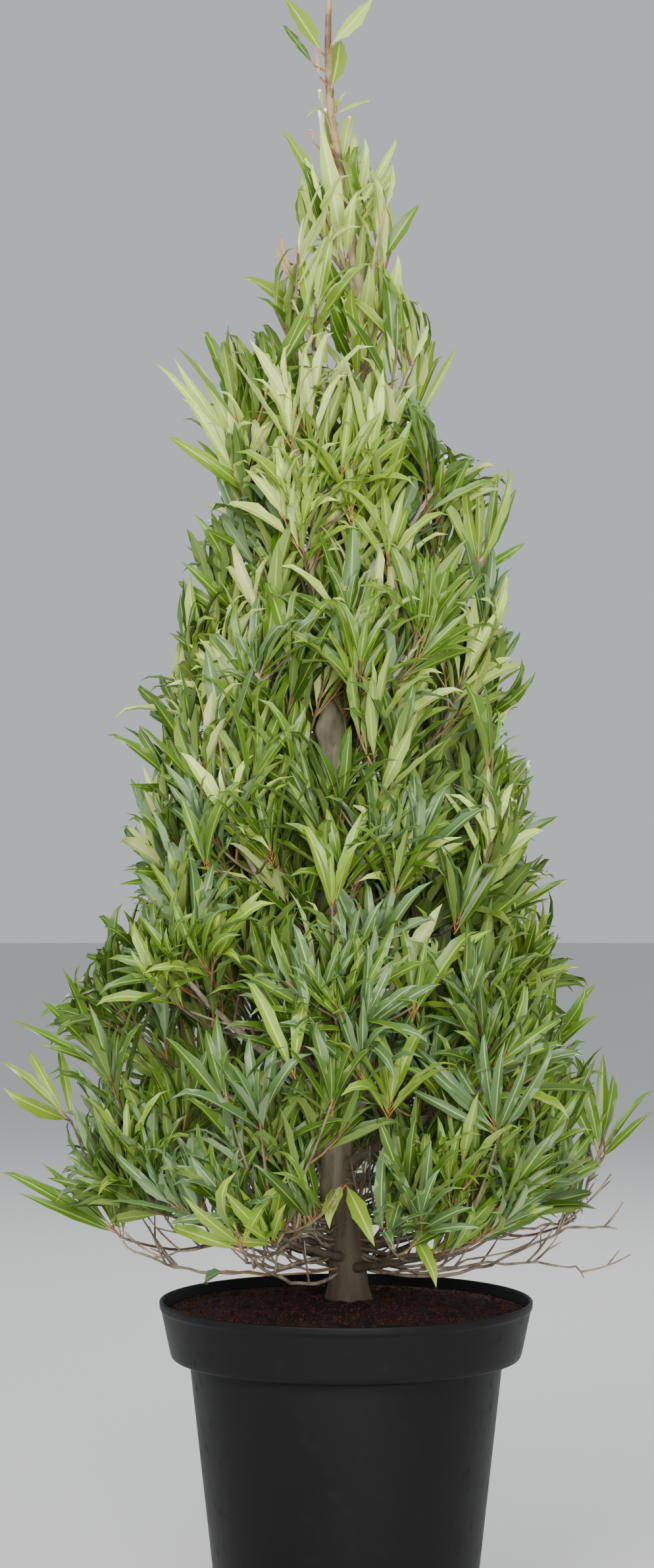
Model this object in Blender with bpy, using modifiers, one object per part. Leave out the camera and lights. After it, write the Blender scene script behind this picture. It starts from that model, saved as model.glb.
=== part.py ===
"""A bay laurel grown as a tall, loose pyramid in a round black nursery pot.

Metres, +Z up. The origin is the middle of the pot's flat underside, -Y is the side that
faces the viewer, -X is the viewer's left. The trunk runs whole from the soil up through
the crown. The crown is in four parts, one above the other, which meet at cones that rise
outwards. Each of the lower three is shared out in equal columns that twist round the trunk,
and each column in tiers that are staggered from column to column. One mass of leaves keeps
to each of these spaces, on its own stem from the trunk or from a bare bough. The fourth part
is the space round the trunk's tip.
"""

import math
import random

import bmesh
import bpy
from mathutils import Matrix, Vector
from mathutils.bvhtree import BVHTree

# Clearances
GAP = 0.0003
SPACE_MARGIN = 0.0010
LIMB_MARGIN = 0.0030

# Pot, thin black plastic with a wide band round its rim
POT_HEIGHT = 0.335
POT_RIM_RADIUS = 0.200
POT_BAND_HEIGHT = 0.058
POT_BAND_FOOT_RADIUS = 0.188
POT_BODY_TOP_RADIUS = 0.168
POT_BASE_RADIUS = 0.1375
POT_WALL = 0.0030
POT_EDGE_ROUND = 0.006
BAND_LIP = ((0.4, 0.7), (1.4, 1.0))
BODY_TOP_DROP = 1.2
BASE_EDGE_IN = 0.4
BASE_EDGE_OUT = 0.15
POT_STEPS = 32
DRAIN_HOLES = 8
DRAIN_RING_RADIUS = 0.105
DRAIN_HOLE_RADIUS = 0.007
DRAIN_HOLE_SIDES = 8

# Soil, mounded towards the trunk
SOIL_TOP = 0.3340
SOIL_EDGE_DROP = 0.0125
SOIL_FLAT_RADIUS = 0.045
MOUND_SHARE = 0.62

# Trunk: height, x, y and radius at each bend
TRUNK_FOOT = SOIL_TOP + GAP
TRUNK_BENDS = (
    (TRUNK_FOOT, 0.003, 0.000, 0.0225),
    (0.366, 0.002, 0.000, 0.0205),
    (0.396, 0.000, 0.001, 0.0200),
    (0.458, -0.008, 0.003, 0.0175),
    (0.600, -0.010, 0.006, 0.0170),
    (0.780, -0.013, 0.004, 0.0160),
    (0.931, -0.013, 0.000, 0.0150),
    (0.988, -0.013, -0.002, 0.0110),
    (1.150, 0.002, 0.002, 0.0095),
    (1.332, 0.023, 0.000, 0.0075),
    (1.500, 0.000, -0.003, 0.0058),
    (1.600, -0.016, 0.000, 0.0048),
)
TRUNK_TIP = TRUNK_BENDS[-1][0]
TRUNK_RINGS = 15
FLARE_HEIGHT = 0.026
FLARE_RINGS = (0, 0.3, 0.65, 1)
FOOT_SHARE = 0.85
FLARE_SPREAD = 0.30
FLARE_LOBES = 4
FLARE_TURN = 1.0
FLARE_POWER = 1.6
LOBE_DEPTH = 0.4

# Crown: how far it reaches to the viewer's left and right at each height
TOTAL_HEIGHT = 1.800
REACH_LEFT = (
    (0.355, 0.190),
    (0.430, 0.300),
    (0.480, 0.372),
    (0.600, 0.376),
    (0.660, 0.350),
    (0.720, 0.290),
    (0.800, 0.246),
    (0.970, 0.246),
    (1.050, 0.192),
    (1.200, 0.168),
    (1.360, 0.204),
    (1.430, 0.115),
    (1.600, 0.080),
    (TOTAL_HEIGHT, 0.040),
)
REACH_RIGHT = (
    (0.355, 0.240),
    (0.430, 0.290),
    (0.560, 0.336),
    (0.640, 0.280),
    (0.740, 0.240),
    (0.860, 0.228),
    (1.030, 0.202),
    (1.160, 0.190),
    (1.250, 0.178),
    (1.300, 0.110),
    (1.360, 0.122),
    (1.430, 0.078),
    (1.600, 0.072),
    (TOTAL_HEIGHT, 0.016),
)

# The crown's parts, from the soil up. Each stands on a cone: its height at the trunk and its
# slope. Then come its tiers, its columns and the turn of the first column in degrees. The
# columns twist with height, and neighbours' tiers are staggered.
CROWN_PARTS = (
    (0.340, 0.00, 3, 7, 12),
    (0.730, 1.10, 2, 6, 40),
    (1.130, 1.50, 2, 4, 20),
    (1.520, 2.00, 0, 0, 0),
)
CROWN_FOOT = CROWN_PARTS[0][0]
TOP_CONE = CROWN_PARTS[-1][:2]
COLUMN_TWIST = math.radians(80)
STAGGER_STEP = 0.618
STAGGER_DEPTH = 0.7
BARE_SHARES = (0.5, 0.17)
LEAF_RISE_LOW = 0.10
LEAF_RISE_HIGH = 1.50
LEAF_RISE_POWER = 0.6
BOUGH_ROOT_RADIUS = 0.0075
BOUGH_TIP_RADIUS = 0.0045

# Limbs and stems: each runs outwards through its space, from a low share of its height to
# a higher one, as far as a share of the crown's reach
LIMB_STEPS = 6
LIMB_SIDES = 10
LIMB_SWAY = 0.25
STEM_ROOT_RADIUS = 0.0055
STEM_TIP_RADIUS = 0.0040
STEM_REACH = 0.75
STEM_FIRST_GUESS = 0.2
STEM_LOW_SHARE = 0.30
STEM_HIGH_SHARE = 0.46
STEM_STRAIGHT = 0.010
STEM_TRUNK_SHARE = 0.6
TOP_STEM = 0.08

# Twigs
TWIGS = 3
TOP_TWIGS = 2
TWIG_FIRST_SHARE = 0.35
TWIG_LAST_SHARE = 0.85
TWIG_LEAN = 0.65
TWIG_RISE = 0.30
TWIG_TRIES = 8
TWIG_SHORTEST = 0.5
TWIG_ROOT_RADIUS = 0.0026
TWIG_TIP_RADIUS = 0.0024
TWIG_LENGTH = 0.085
TWIG_LENGTHS = (0.8, 1.15)
GOLDEN_TURN = math.radians(137.5)

# Leaves
LEAF_LENGTH = 0.145
LEAF_WIDTH = 0.042
LEAF_LENGTHS = (0.88, 1.12)
LEAF_WIDTHS = (0.88, 1.08)
LEAF_THICKNESS = 0.0034
LEAF_WIDEST = 0.44
LEAF_SHORTEST = 0.64
LEAF_TRIES = 14
LEAF_ROOT_SHARE = 0.12
LEAF_RETURN = 1.1
LEAF_SUNK = 0.0010
LEAF_SPREAD = 0.75
LEAF_OPENING = 0.04
LEAF_FACE_LIFT = 0.2
TIP_SPREAD = 0.15
LEAVES_PER_TWIG = 2
LEAVES_PER_STEM = 8
TWIG_BARE_SHARE = 0.45
STEM_BARE_SHARE = 0.15
LOW_GREEN = (70, 92, 58)
TOP_GREEN = (150, 168, 92)
LEAF_ROUGHNESS = 0.45
TIP_LEAF_SCALE = 1.15
LOW_LEAF_SCALE = 1.12
TOP_LEAF_SCALE = 0.90
SMOOTH_ANGLE = math.radians(40)
WELD = 1e-6
SEED = 1944


def along(pairs, height):
    """The value at a height, on straight lines between the pairs of height and value."""
    below = pairs[0]
    for above in pairs[1:]:
        if height <= above[0]:
            share = (height - below[0]) / (above[0] - below[0])
            return blend(below[1], above[1], max(share, 0))
        below = above
    return below[1]


def smooth_bend(height):
    """Centre and radius of the trunk at a height, on a smooth curve through its bends."""
    height = min(max(height, TRUNK_FOOT), TRUNK_TIP)
    last = len(TRUNK_BENDS) - 1
    index = next(i for i in range(last) if height <= TRUNK_BENDS[i + 1][0])
    four = [TRUNK_BENDS[min(max(index + step, 0), last)] for step in (-1, 0, 1, 2)]
    start, end = four[1], four[2]
    share = (height - start[0]) / (end[0] - start[0])
    values = []
    for axis in (1, 2, 3):
        run_in = end[0] - four[0][0]
        run_out = four[3][0] - start[0]
        slope_in = (end[axis] - four[0][axis]) / run_in * (end[0] - start[0])
        slope_out = (four[3][axis] - start[axis]) / run_out * (end[0] - start[0])
        square, cube = share**2, share**3
        values.append(
            (2 * cube - 3 * square + 1) * start[axis]
            + (cube - 2 * square + share) * slope_in
            + (3 * square - 2 * cube) * end[axis]
            + (cube - square) * slope_out
        )
    return Vector((values[0], values[1], height)), values[2]


def reach(point):
    """How far the crown reaches at a point's height and in its direction from the axis."""
    flat = math.hypot(point.x, point.y)
    right_share = 0.5 + 0.5 * point.x / flat if flat > 0 else 0.5
    left = along(REACH_LEFT, point.z)
    right = along(REACH_RIGHT, point.z)
    return left + (right - left) * right_share


def in_crown(point):
    return point.z <= TOTAL_HEIGHT and math.hypot(point.x, point.y) <= reach(point)


def blend(first, second, share):
    return first + (second - first) * share


class Space:
    """The part of the crown that one mass keeps to: one tier of one column."""

    def __init__(self, part, tier, column):
        under, over = CROWN_PARTS[part], CROWN_PARTS[part + 1]
        tiers, columns = under[2], under[3]
        shift = (column * STAGGER_STEP % 1 - 0.5) * STAGGER_DEPTH
        start = (tier + shift) / tiers if tier > 0 else 0
        end = (tier + 1 + shift) / tiers if tier + 1 < tiers else 1
        self.low = [blend(under[i], over[i], start) for i in (0, 1)]
        self.high = [blend(under[i], over[i], end) for i in (0, 1)]
        self.turn = math.radians(under[4]) + math.tau * column / columns
        self.half = math.pi / columns

    def place(self, radius, share, turn=0.0):
        """The point at a radius from the trunk, at a share of the way up the space."""
        floor = self.low[0] + self.low[1] * radius
        ceiling = self.high[0] + self.high[1] * radius
        height = blend(floor, ceiling, share)
        angle = self.turn + COLUMN_TWIST * height + turn
        centre = smooth_bend(height)[0]
        x = centre.x + radius * math.cos(angle)
        y = centre.y + radius * math.sin(angle)
        return Vector((x, y, height))

    def holds(self, point):
        if not in_crown(point):
            return False
        arm = point - smooth_bend(point.z)[0]
        radius = math.hypot(arm.x, arm.y)
        turn = math.atan2(arm.y, arm.x) - self.turn - COLUMN_TWIST * point.z
        off = abs((turn + math.pi) % math.tau - math.pi)
        room = radius * math.sin(self.half - off) if off < self.half else -1
        above = height_over(point, self.low, radius)
        below = -height_over(point, self.high, radius)
        return min(room, above, below) >= SPACE_MARGIN


class TopSpace:
    """The space above the last tier, round the trunk's tip."""

    low = TOP_CONE

    def holds(self, point):
        arm = point - smooth_bend(point.z)[0]
        radius = math.hypot(arm.x, arm.y)
        return in_crown(point) and height_over(point, self.low, radius) >= SPACE_MARGIN


def height_over(point, cone, radius):
    return (point.z - cone[0] - cone[1] * radius) / math.hypot(1, cone[1])


class Limbs:
    """The skin of the trunk and boughs, a margin outside them, for leaves to keep clear of."""

    def __init__(self):
        self.corners = []
        self.sides = []

    def add(self, points, radii):
        for index, (point, radius) in enumerate(zip(points, radii)):
            axis = (points[min(index + 1, len(points) - 1)] - points[max(index - 1, 0)]).normalized()
            guide = Vector((1, 0, 0)) if axis.z > 0.9 else Vector((0, 0, 1))
            across = axis.cross(guide).normalized() * (radius + LIMB_MARGIN)
            first = len(self.corners)
            for side in range(LIMB_SIDES):
                turn = Matrix.Rotation(math.tau * side / LIMB_SIDES, 3, axis)
                self.corners.append(point + turn @ across)
                if index:
                    following = first + (side + 1) % LIMB_SIDES
                    under = following - LIMB_SIDES
                    self.sides.append((first + side, following, under, first + side - LIMB_SIDES))

    def close(self):
        self.tree = BVHTree.FromPolygons(self.corners, self.sides)

    def clear_of(self, tree):
        return not self.tree.overlap(tree)


def turned(axis, angle):
    """A direction at right angles to an axis, turned about it, from straight up."""
    side = axis.cross(Vector((0, 0, 1)))
    side = side.normalized() if side.length > 1e-4 else Vector((1, 0, 0))
    return Matrix.Rotation(angle, 3, axis) @ side.cross(axis).normalized()


class Mass:
    """One mass of foliage: its stem, side twigs and leaves, all inside its space."""

    def __init__(self, name, space, stem, limbs, seed):
        self.name, self.space, self.stem, self.limbs = name, space, stem, limbs
        self.level = (space.low[0] - CROWN_FOOT) / (TOP_CONE[0] - CROWN_FOOT)
        self.rise = blend(LEAF_RISE_LOW, LEAF_RISE_HIGH, self.level**LEAF_RISE_POWER)
        self.size = blend(LOW_LEAF_SCALE, TOP_LEAF_SCALE, self.level)
        self.random = random.Random(seed)
        self.twigs = []
        self.leaves = []
        self.taken = [prism_tree(self.stem[0], self.stem[-1], STEM_TIP_RADIUS)]

    def grow(self, twigs, bare_twigs):
        """Side twigs by turns round the stem, each with leaves, then the stem's own leaves."""
        self.grow_tip(self.stem)
        first = self.random.uniform(0, math.tau)
        for index in range(twigs):
            share = blend(TWIG_FIRST_SHARE, TWIG_LAST_SHARE, index / max(twigs - 1, 1))
            length = TWIG_LENGTH * self.random.uniform(*TWIG_LENGTHS)
            angle = first + GOLDEN_TURN * index
            if index < bare_twigs:
                self.grow_twig(share, angle, length, False)
            elif self.grow_twig(share, angle, length, True):
                self.grow_spiral(self.twigs[-1], LEAVES_PER_TWIG, TWIG_BARE_SHARE)
        self.grow_spiral(self.stem, LEAVES_PER_STEM, STEM_BARE_SHARE)

    def grow_twig(self, share, angle, length, leafy):
        """A straight side twig, turned and shortened until it and the leaf at its tip fit."""
        start = point_on(self.stem, share)
        axis = (self.stem[-1] - self.stem[0]).normalized()
        for attempt in range(TWIG_TRIES):
            out = turned(axis, angle + LEAF_RETURN * attempt)
            direction = (axis * TWIG_LEAN + out + Vector((0, 0, TWIG_RISE))).normalized()
            scale = blend(1, TWIG_SHORTEST, attempt / (TWIG_TRIES - 1))
            path = (start, start + direction * length * scale)
            tree = prism_tree(*path, TWIG_TIP_RADIUS)
            if not self.space.holds(path[1]) or not self.limbs.clear_of(tree):
                continue
            if leafy and not self.grow_tip(path):
                continue
            self.twigs.append(path)
            self.taken.append(tree)
            return True
        return False

    def grow_tip(self, path):
        """The leaf at a path's tip. True if it fits."""
        return self.grow_leaf(path, 1.0, self.random.uniform(0, math.tau), TIP_SPREAD, TIP_LEAF_SCALE)

    def grow_spiral(self, path, count, bare_share):
        """Leaves in a spiral from near the tip of a path down to its bare share."""
        first = self.random.uniform(0, math.tau)
        for index in range(1, count + 1):
            share = 1 - (1 - bare_share) * index / count
            self.grow_leaf(path, share, first + GOLDEN_TURN * index, LEAF_SPREAD)

    def grow_leaf(self, path, share, angle, spread, scale=1.0):
        """A leaf on a path, turned and shortened until it fits. False if it is left out."""
        root = point_on(path, share)
        axis = (path[-1] - path[-2]).normalized()
        width = LEAF_WIDTH * self.size * self.random.uniform(*LEAF_WIDTHS)
        full = LEAF_LENGTH * self.size * self.random.uniform(*LEAF_LENGTHS) * scale
        for attempt in range(LEAF_TRIES):
            out = turned(axis, angle + LEAF_RETURN * attempt)
            direction = axis + out * (spread + LEAF_OPENING * attempt) + Vector((0, 0, self.rise))
            direction.normalize()
            length = full * (1 - (1 - LEAF_SHORTEST) * attempt / (LEAF_TRIES - 1))
            side = direction.cross(axis + Vector((0, 0, LEAF_FACE_LIFT))).normalized()
            face = side.cross(direction)
            start = root - direction * LEAF_SUNK
            if self.leaf_fits(start, direction, side, face, length, width):
                columns = (side * width, face * LEAF_THICKNESS, direction * length)
                rows = [[column[i] for column in columns] + [start[i]] for i in range(3)]
                place = Matrix(rows + [[0, 0, 0, 1]])
                outer = leaf_tree(place, LEAF_ROOT_SHARE)
                if not self.limbs.clear_of(leaf_tree(place, 0)):
                    continue
                if any(outer.overlap(other) for other in self.taken):
                    continue
                self.taken.append(leaf_tree(place, 0))
                self.leaves.append(place)
                return True
        return False

    def leaf_fits(self, root, direction, side, face, length, width):
        middle = root + direction * length * LEAF_WIDEST
        tip = root + direction * length
        corners = [middle + side * width / 2, middle - side * width / 2]
        corners += [middle + face * LEAF_THICKNESS, middle - face * LEAF_THICKNESS, tip]
        tests = corners + [tip.lerp(corner, 0.5) for corner in corners]
        tests += [root.lerp(corner, 0.6) for corner in corners]
        return all(self.space.holds(test) for test in tests)


def prism_tree(start, end, radius):
    """A three-sided prism between two points, to test leaves against."""
    axis = (end - start).normalized()
    ring = [turned(axis, math.tau * index / 3) * radius for index in range(3)]
    corners = [point + arm for point in (start, end) for arm in ring]
    sides = [(index, (index + 1) % 3, 3 + (index + 1) % 3, 3 + index) for index in range(3)]
    return BVHTree.FromPolygons(corners, sides)


def leaf_tree(place, root_share):
    """The flat outline of a leaf past a share of its length, to test others against."""
    widest = max(root_share / LEAF_WIDEST, 0) / 2
    outline = [(-widest, root_share), (-0.5, LEAF_WIDEST), (0, 1), (0.5, LEAF_WIDEST), (widest, root_share)]
    corners = [place @ Vector((across, 0, up)) for across, up in outline]
    return BVHTree.FromPolygons(corners, [(0, 1, 2), (0, 2, 4), (2, 3, 4)])


def point_on(path, share):
    place = share * (len(path) - 1)
    index = min(int(place), len(path) - 2)
    return path[index].lerp(path[index + 1], place - index)


def plan_plant():
    """Work out the trunk, every bough and every mass."""
    limbs = Limbs()
    flare_top = TRUNK_FOOT + FLARE_HEIGHT
    heights = [TRUNK_FOOT + FLARE_HEIGHT * share for share in FLARE_RINGS]
    heights += [flare_top + (TRUNK_TIP - flare_top) * i / TRUNK_RINGS for i in range(1, TRUNK_RINGS + 1)]
    trunk = [smooth_bend(height) for height in heights]
    limbs.add([bend[0] for bend in trunk], [bend[1] for bend in trunk])
    boughs = []
    masses = []
    level = 0
    for part, (_, _, tiers, columns, _) in enumerate(CROWN_PARTS):
        for tier in range(tiers):
            bare = BARE_SHARES[level] if level < len(BARE_SHARES) else 0
            level += 1
            for column in range(columns):
                seed = SEED + 100 * level + column
                name = f"{level}_{column + 1}"
                space = Space(part, tier, column)
                path = limb_path(space, random.Random(seed))
                if bare:
                    split = round(bare * LIMB_STEPS)
                    radii = [blend(BOUGH_ROOT_RADIUS, BOUGH_TIP_RADIUS, i / split) for i in range(split + 1)]
                    bough = path[: split + 1]
                    limbs.add(bough, radii)
                    boughs.append((f"bough_{name}", bough, radii))
                    path = start_beyond(bough) + path[split + 1 :]
                masses.append(Mass(f"foliage_{name}", space, path, limbs, seed))
    limbs.close()
    stem = start_beyond([bend[0] for bend in trunk])
    stem.append(stem[-1] + (stem[-1] - stem[0]).normalized() * TOP_STEM)
    top = Mass("foliage_top", TopSpace(), stem, limbs, SEED)
    for mass in masses:
        mass.grow(TWIGS, 1 if mass.name.startswith("foliage_1_") else 0)
    top.grow(TOP_TWIGS, 0)
    return trunk, boughs, masses + [top]


def start_beyond(limb):
    """The first points of a stem that carries on straight from a limb's tip, a gap beyond it."""
    direction = (limb[-1] - limb[-2]).normalized()
    return [limb[-1] + direction * GAP, limb[-1] + direction * STEM_STRAIGHT]


def limb_path(space, rng):
    """The line of one limb, from the trunk's axis to near the crown's outside."""
    sway = rng.uniform(-LIMB_SWAY, LIMB_SWAY) * space.half
    tip = STEM_REACH * reach(space.place(STEM_FIRST_GUESS, STEM_HIGH_SHARE))
    tip = STEM_REACH * reach(space.place(tip, STEM_HIGH_SHARE))
    path = []
    for step in range(LIMB_STEPS + 1):
        share = step / LIMB_STEPS
        level = STEM_LOW_SHARE + (STEM_HIGH_SHARE - STEM_LOW_SHARE) * share
        path.append(space.place(share * tip, level, sway * math.sin(math.pi * share)))
    return path


def clear_scene():
    for item in list(bpy.data.objects):
        bpy.data.objects.remove(item)


def new_collection(name):
    collection = bpy.data.collections.new(name)
    bpy.context.scene.collection.children.link(collection)
    return collection


def material(name, colour, roughness):
    """A Principled material from an sRGB colour of 0 to 255."""
    result = bpy.data.materials.new(name)
    result.use_nodes = True
    shader = result.node_tree.nodes["Principled BSDF"]
    linear = [((value / 255 + 0.055) / 1.055) ** 2.4 for value in colour]
    shader.inputs["Base Color"].default_value = (*linear, 1)
    shader.inputs["Roughness"].default_value = roughness
    shader.inputs["Metallic"].default_value = 0
    return result


def hide_guide(item):
    item.hide_render = True
    item.display_type = "WIRE"


def turned_shape(name, profile, collection, surface):
    """A solid turned round the Z axis from a profile that runs down its outer side."""
    mesh = bpy.data.meshes.new(name)
    edges = [(i, i + 1) for i in range(len(profile) - 1)]
    mesh.from_pydata([(radius, 0, height) for radius, height in profile], edges, [])
    mesh.materials.append(surface)
    item = bpy.data.objects.new(name, mesh)
    collection.objects.link(item)
    screw = item.modifiers.new("turn", "SCREW")
    screw.angle = math.tau
    screw.steps = POT_STEPS
    screw.render_steps = POT_STEPS
    screw.use_merge_vertices = True
    screw.merge_threshold = 0.00005
    screw.use_smooth_shade = True
    return item


def pot_side(inset):
    """The pot's outer side from rim to base, moved inwards by an inset."""
    foot_radius = POT_BAND_FOOT_RADIUS - inset
    foot_height = POT_HEIGHT - POT_BAND_HEIGHT + inset
    side = [(POT_RIM_RADIUS - inset, POT_HEIGHT), (foot_radius, foot_height)]
    for inwards, down in BAND_LIP:
        side.append((foot_radius - POT_EDGE_ROUND * inwards, foot_height - POT_EDGE_ROUND * down))
    side.append((POT_BODY_TOP_RADIUS - inset, foot_height - POT_EDGE_ROUND * BODY_TOP_DROP))
    side.append((POT_BASE_RADIUS + POT_EDGE_ROUND * BASE_EDGE_OUT - inset, POT_EDGE_ROUND))
    return side


def make_pot(collection, cutters, surface):
    outside = pot_side(0)
    inside = pot_side(POT_WALL)
    inside[-1] = (inside[-1][0], POT_WALL)
    base = [(POT_BASE_RADIUS - POT_EDGE_ROUND * BASE_EDGE_IN, 0), (0, 0)]
    pot = turned_shape("pot", [(0, POT_WALL)] + inside[::-1] + outside + base, collection, surface)
    mesh = bpy.data.meshes.new("drain_holes")
    shape = bmesh.new()
    for index in range(DRAIN_HOLES):
        angle = math.tau * (index + 0.5) / DRAIN_HOLES
        place = Vector((math.cos(angle), math.sin(angle), 0)) * DRAIN_RING_RADIUS
        bmesh.ops.create_cone(
            shape,
            cap_ends=True,
            segments=DRAIN_HOLE_SIDES,
            radius1=DRAIN_HOLE_RADIUS,
            radius2=DRAIN_HOLE_RADIUS,
            depth=4 * POT_WALL,
            matrix=Matrix.Translation(place),
        )
    shape.to_mesh(mesh)
    shape.free()
    holes = bpy.data.objects.new("drain_holes", mesh)
    cutters.objects.link(holes)
    hide_guide(holes)
    cut = pot.modifiers.new("drain_holes", "BOOLEAN")
    cut.operation = "DIFFERENCE"
    cut.object = holes
    return pot


def make_soil(collection, surface):
    side = pot_side(POT_WALL + GAP)
    edge_height = POT_HEIGHT - SOIL_EDGE_DROP
    lean = (POT_RIM_RADIUS - POT_BAND_FOOT_RADIUS) / POT_BAND_HEIGHT
    edge_radius = side[0][0] - lean * SOIL_EDGE_DROP
    middle_radius = (SOIL_FLAT_RADIUS + edge_radius) / 2
    middle_height = edge_height + (SOIL_TOP - edge_height) * MOUND_SHARE
    top = [(0, SOIL_TOP), (SOIL_FLAT_RADIUS, SOIL_TOP), (middle_radius, middle_height)]
    floor = POT_WALL + GAP
    side[-1] = (side[-1][0], floor)
    profile = top + [(edge_radius, edge_height)] + side[1:] + [(0, floor)]
    return turned_shape("soil", profile, collection, surface)


def three_sided_guide(cutters):
    """A triangle of radius 1, the section of every stem and twig."""
    curve = bpy.data.curves.new("three_sides", "CURVE")
    curve.dimensions = "2D"
    spline = curve.splines.new("POLY")
    spline.points.add(2)
    for index, point in enumerate(spline.points):
        angle = -math.tau * index / 3
        point.co = (math.cos(angle), math.sin(angle), 0, 1)
    spline.use_cyclic_u = True
    guide = bpy.data.objects.new("three_sides", curve)
    cutters.objects.link(guide)
    hide_guide(guide)
    return guide


def limb_curve(name, points, radii, collection, resolution=1, section=None):
    """A tapering round limb, or one with the section of a guide curve."""
    curve = bpy.data.curves.new(name, "CURVE")
    curve.dimensions = "3D"
    spline = curve.splines.new("POLY")
    spline.points.add(len(points) - 1)
    for target, point, radius in zip(spline.points, points, radii):
        target.co = (*point, 1)
        target.radius = radius
    curve.use_fill_caps = True
    if section:
        curve.bevel_mode = "OBJECT"
        curve.bevel_object = section
    else:
        curve.bevel_depth = 1.0
        curve.bevel_resolution = resolution
    item = bpy.data.objects.new(name, curve)
    collection.objects.link(item)
    return item


def curves_to_meshes(collection):
    """Every curve in a collection as a closed mesh object of the same name."""
    bpy.context.view_layer.update()
    depsgraph = bpy.context.evaluated_depsgraph_get()
    curves = [item for item in collection.objects if item.type == "CURVE"]
    meshes = [bpy.data.meshes.new_from_object(item.evaluated_get(depsgraph)) for item in curves]
    for item, mesh in zip(curves, meshes):
        name, place = item.name, item.matrix_world.copy()
        bpy.data.objects.remove(item)
        shape = bmesh.new()
        shape.from_mesh(mesh)
        bmesh.ops.remove_doubles(shape, verts=shape.verts, dist=WELD)
        shape.to_mesh(mesh)
        shape.free()
        mesh.name = name
        solid = bpy.data.objects.new(name, mesh)
        solid.matrix_world = place
        collection.objects.link(solid)


def spread_roots(item):
    """Level the foot of the trunk and push it out into the lobes of its root flare."""
    centre = smooth_bend(TRUNK_FOOT)[0]
    for vertex in item.data.vertices:
        share = 1 - (vertex.co.z - TRUNK_FOOT) / FLARE_HEIGHT
        if share <= 0:
            continue
        if share > FOOT_SHARE:
            vertex.co.z = TRUNK_FOOT
            share = 1
        arm = vertex.co - centre
        wave = math.cos(FLARE_LOBES * math.atan2(arm.y, arm.x) + FLARE_TURN)
        lobe = 1 - LOBE_DEPTH + LOBE_DEPTH * wave
        widen = 1 + FLARE_SPREAD * share**FLARE_POWER * lobe
        vertex.co.x = centre.x + arm.x * widen
        vertex.co.y = centre.y + arm.y * widen


def leaf_template():
    """A leaf of eight faces, of unit length along Z, width along X, thickness along Y."""
    mesh = bpy.data.meshes.new("leaf")
    shape = bmesh.new()
    bmesh.ops.create_uvsphere(shape, u_segments=4, v_segments=2, radius=0.5)
    for vertex in shape.verts:
        level = vertex.co.z
        vertex.co.z = 0.5 + level if abs(level) > 0.1 else LEAF_WIDEST
    shape.to_mesh(mesh)
    shape.free()
    return mesh


def keep_one_body(mesh):
    """Drop loose scraps and fill sealed hollows: only the largest shell stays."""
    shape = bmesh.new()
    shape.from_mesh(mesh)
    shape.verts.ensure_lookup_table()
    left = set(shape.verts)
    shells = []
    while left:
        shell = {left.pop()}
        edge = list(shell)
        while edge:
            vertex = edge.pop()
            for link in vertex.link_edges:
                other = link.other_vert(vertex)
                if other in left:
                    left.discard(other)
                    shell.add(other)
                    edge.append(other)
        shells.append(shell)
    largest = max(shells, key=extent)
    scraps = [vertex for shell in shells if shell is not largest for vertex in shell]
    bmesh.ops.delete(shape, geom=scraps, context="VERTS")
    shape.to_mesh(mesh)
    shape.free()


def extent(shell):
    spans = [[vertex.co[axis] for vertex in shell] for axis in range(3)]
    return sum(max(span) - min(span) for span in spans)


def mass_radii(mass):
    """Radii along a mass's stem, thin enough to root inside the trunk."""
    room = STEM_TRUNK_SHARE * smooth_bend(mass.stem[0].z)[1]
    root = min(STEM_ROOT_RADIUS, max(room, STEM_TIP_RADIUS))
    count = len(mass.stem) - 1
    return [root + (STEM_TIP_RADIUS - root) * i / count for i in range(count + 1)]


def start_mass(mass, section, leaf, collection):
    """The stem as a curve, with a collection of the twigs and leaves to be joined to it."""
    parts = new_collection(mass.name + "_parts")
    limb_curve(mass.name, mass.stem, mass_radii(mass), collection, section=section)
    for index, path in enumerate(mass.twigs):
        radii = (TWIG_ROOT_RADIUS, TWIG_TIP_RADIUS)
        limb_curve(f"{mass.name}_twig_{index}", path, radii, parts, section=section)
    curves_to_meshes(parts)
    for index, place in enumerate(mass.leaves):
        item = bpy.data.objects.new(f"{mass.name}_leaf_{index}", leaf)
        item.matrix_world = place
        parts.objects.link(item)
    return parts


def cut_clear(item, cutter):
    cut = item.modifiers.new("clear_of_trunk", "BOOLEAN")
    cut.operation = "DIFFERENCE"
    cut.object = cutter


def finish_mesh(item, surface, smooth_angle=None):
    """Apply an object's modifiers as one plain mesh of a single body."""
    bpy.context.view_layer.update()
    depsgraph = bpy.context.evaluated_depsgraph_get()
    mesh = bpy.data.meshes.new_from_object(item.evaluated_get(depsgraph))
    item.modifiers.clear()
    item.data = mesh
    keep_one_body(mesh)
    mesh.materials.clear()
    mesh.materials.append(surface)
    if smooth_angle:
        mesh.shade_smooth()
        mesh.set_sharp_from_angle(angle=smooth_angle)


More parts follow.
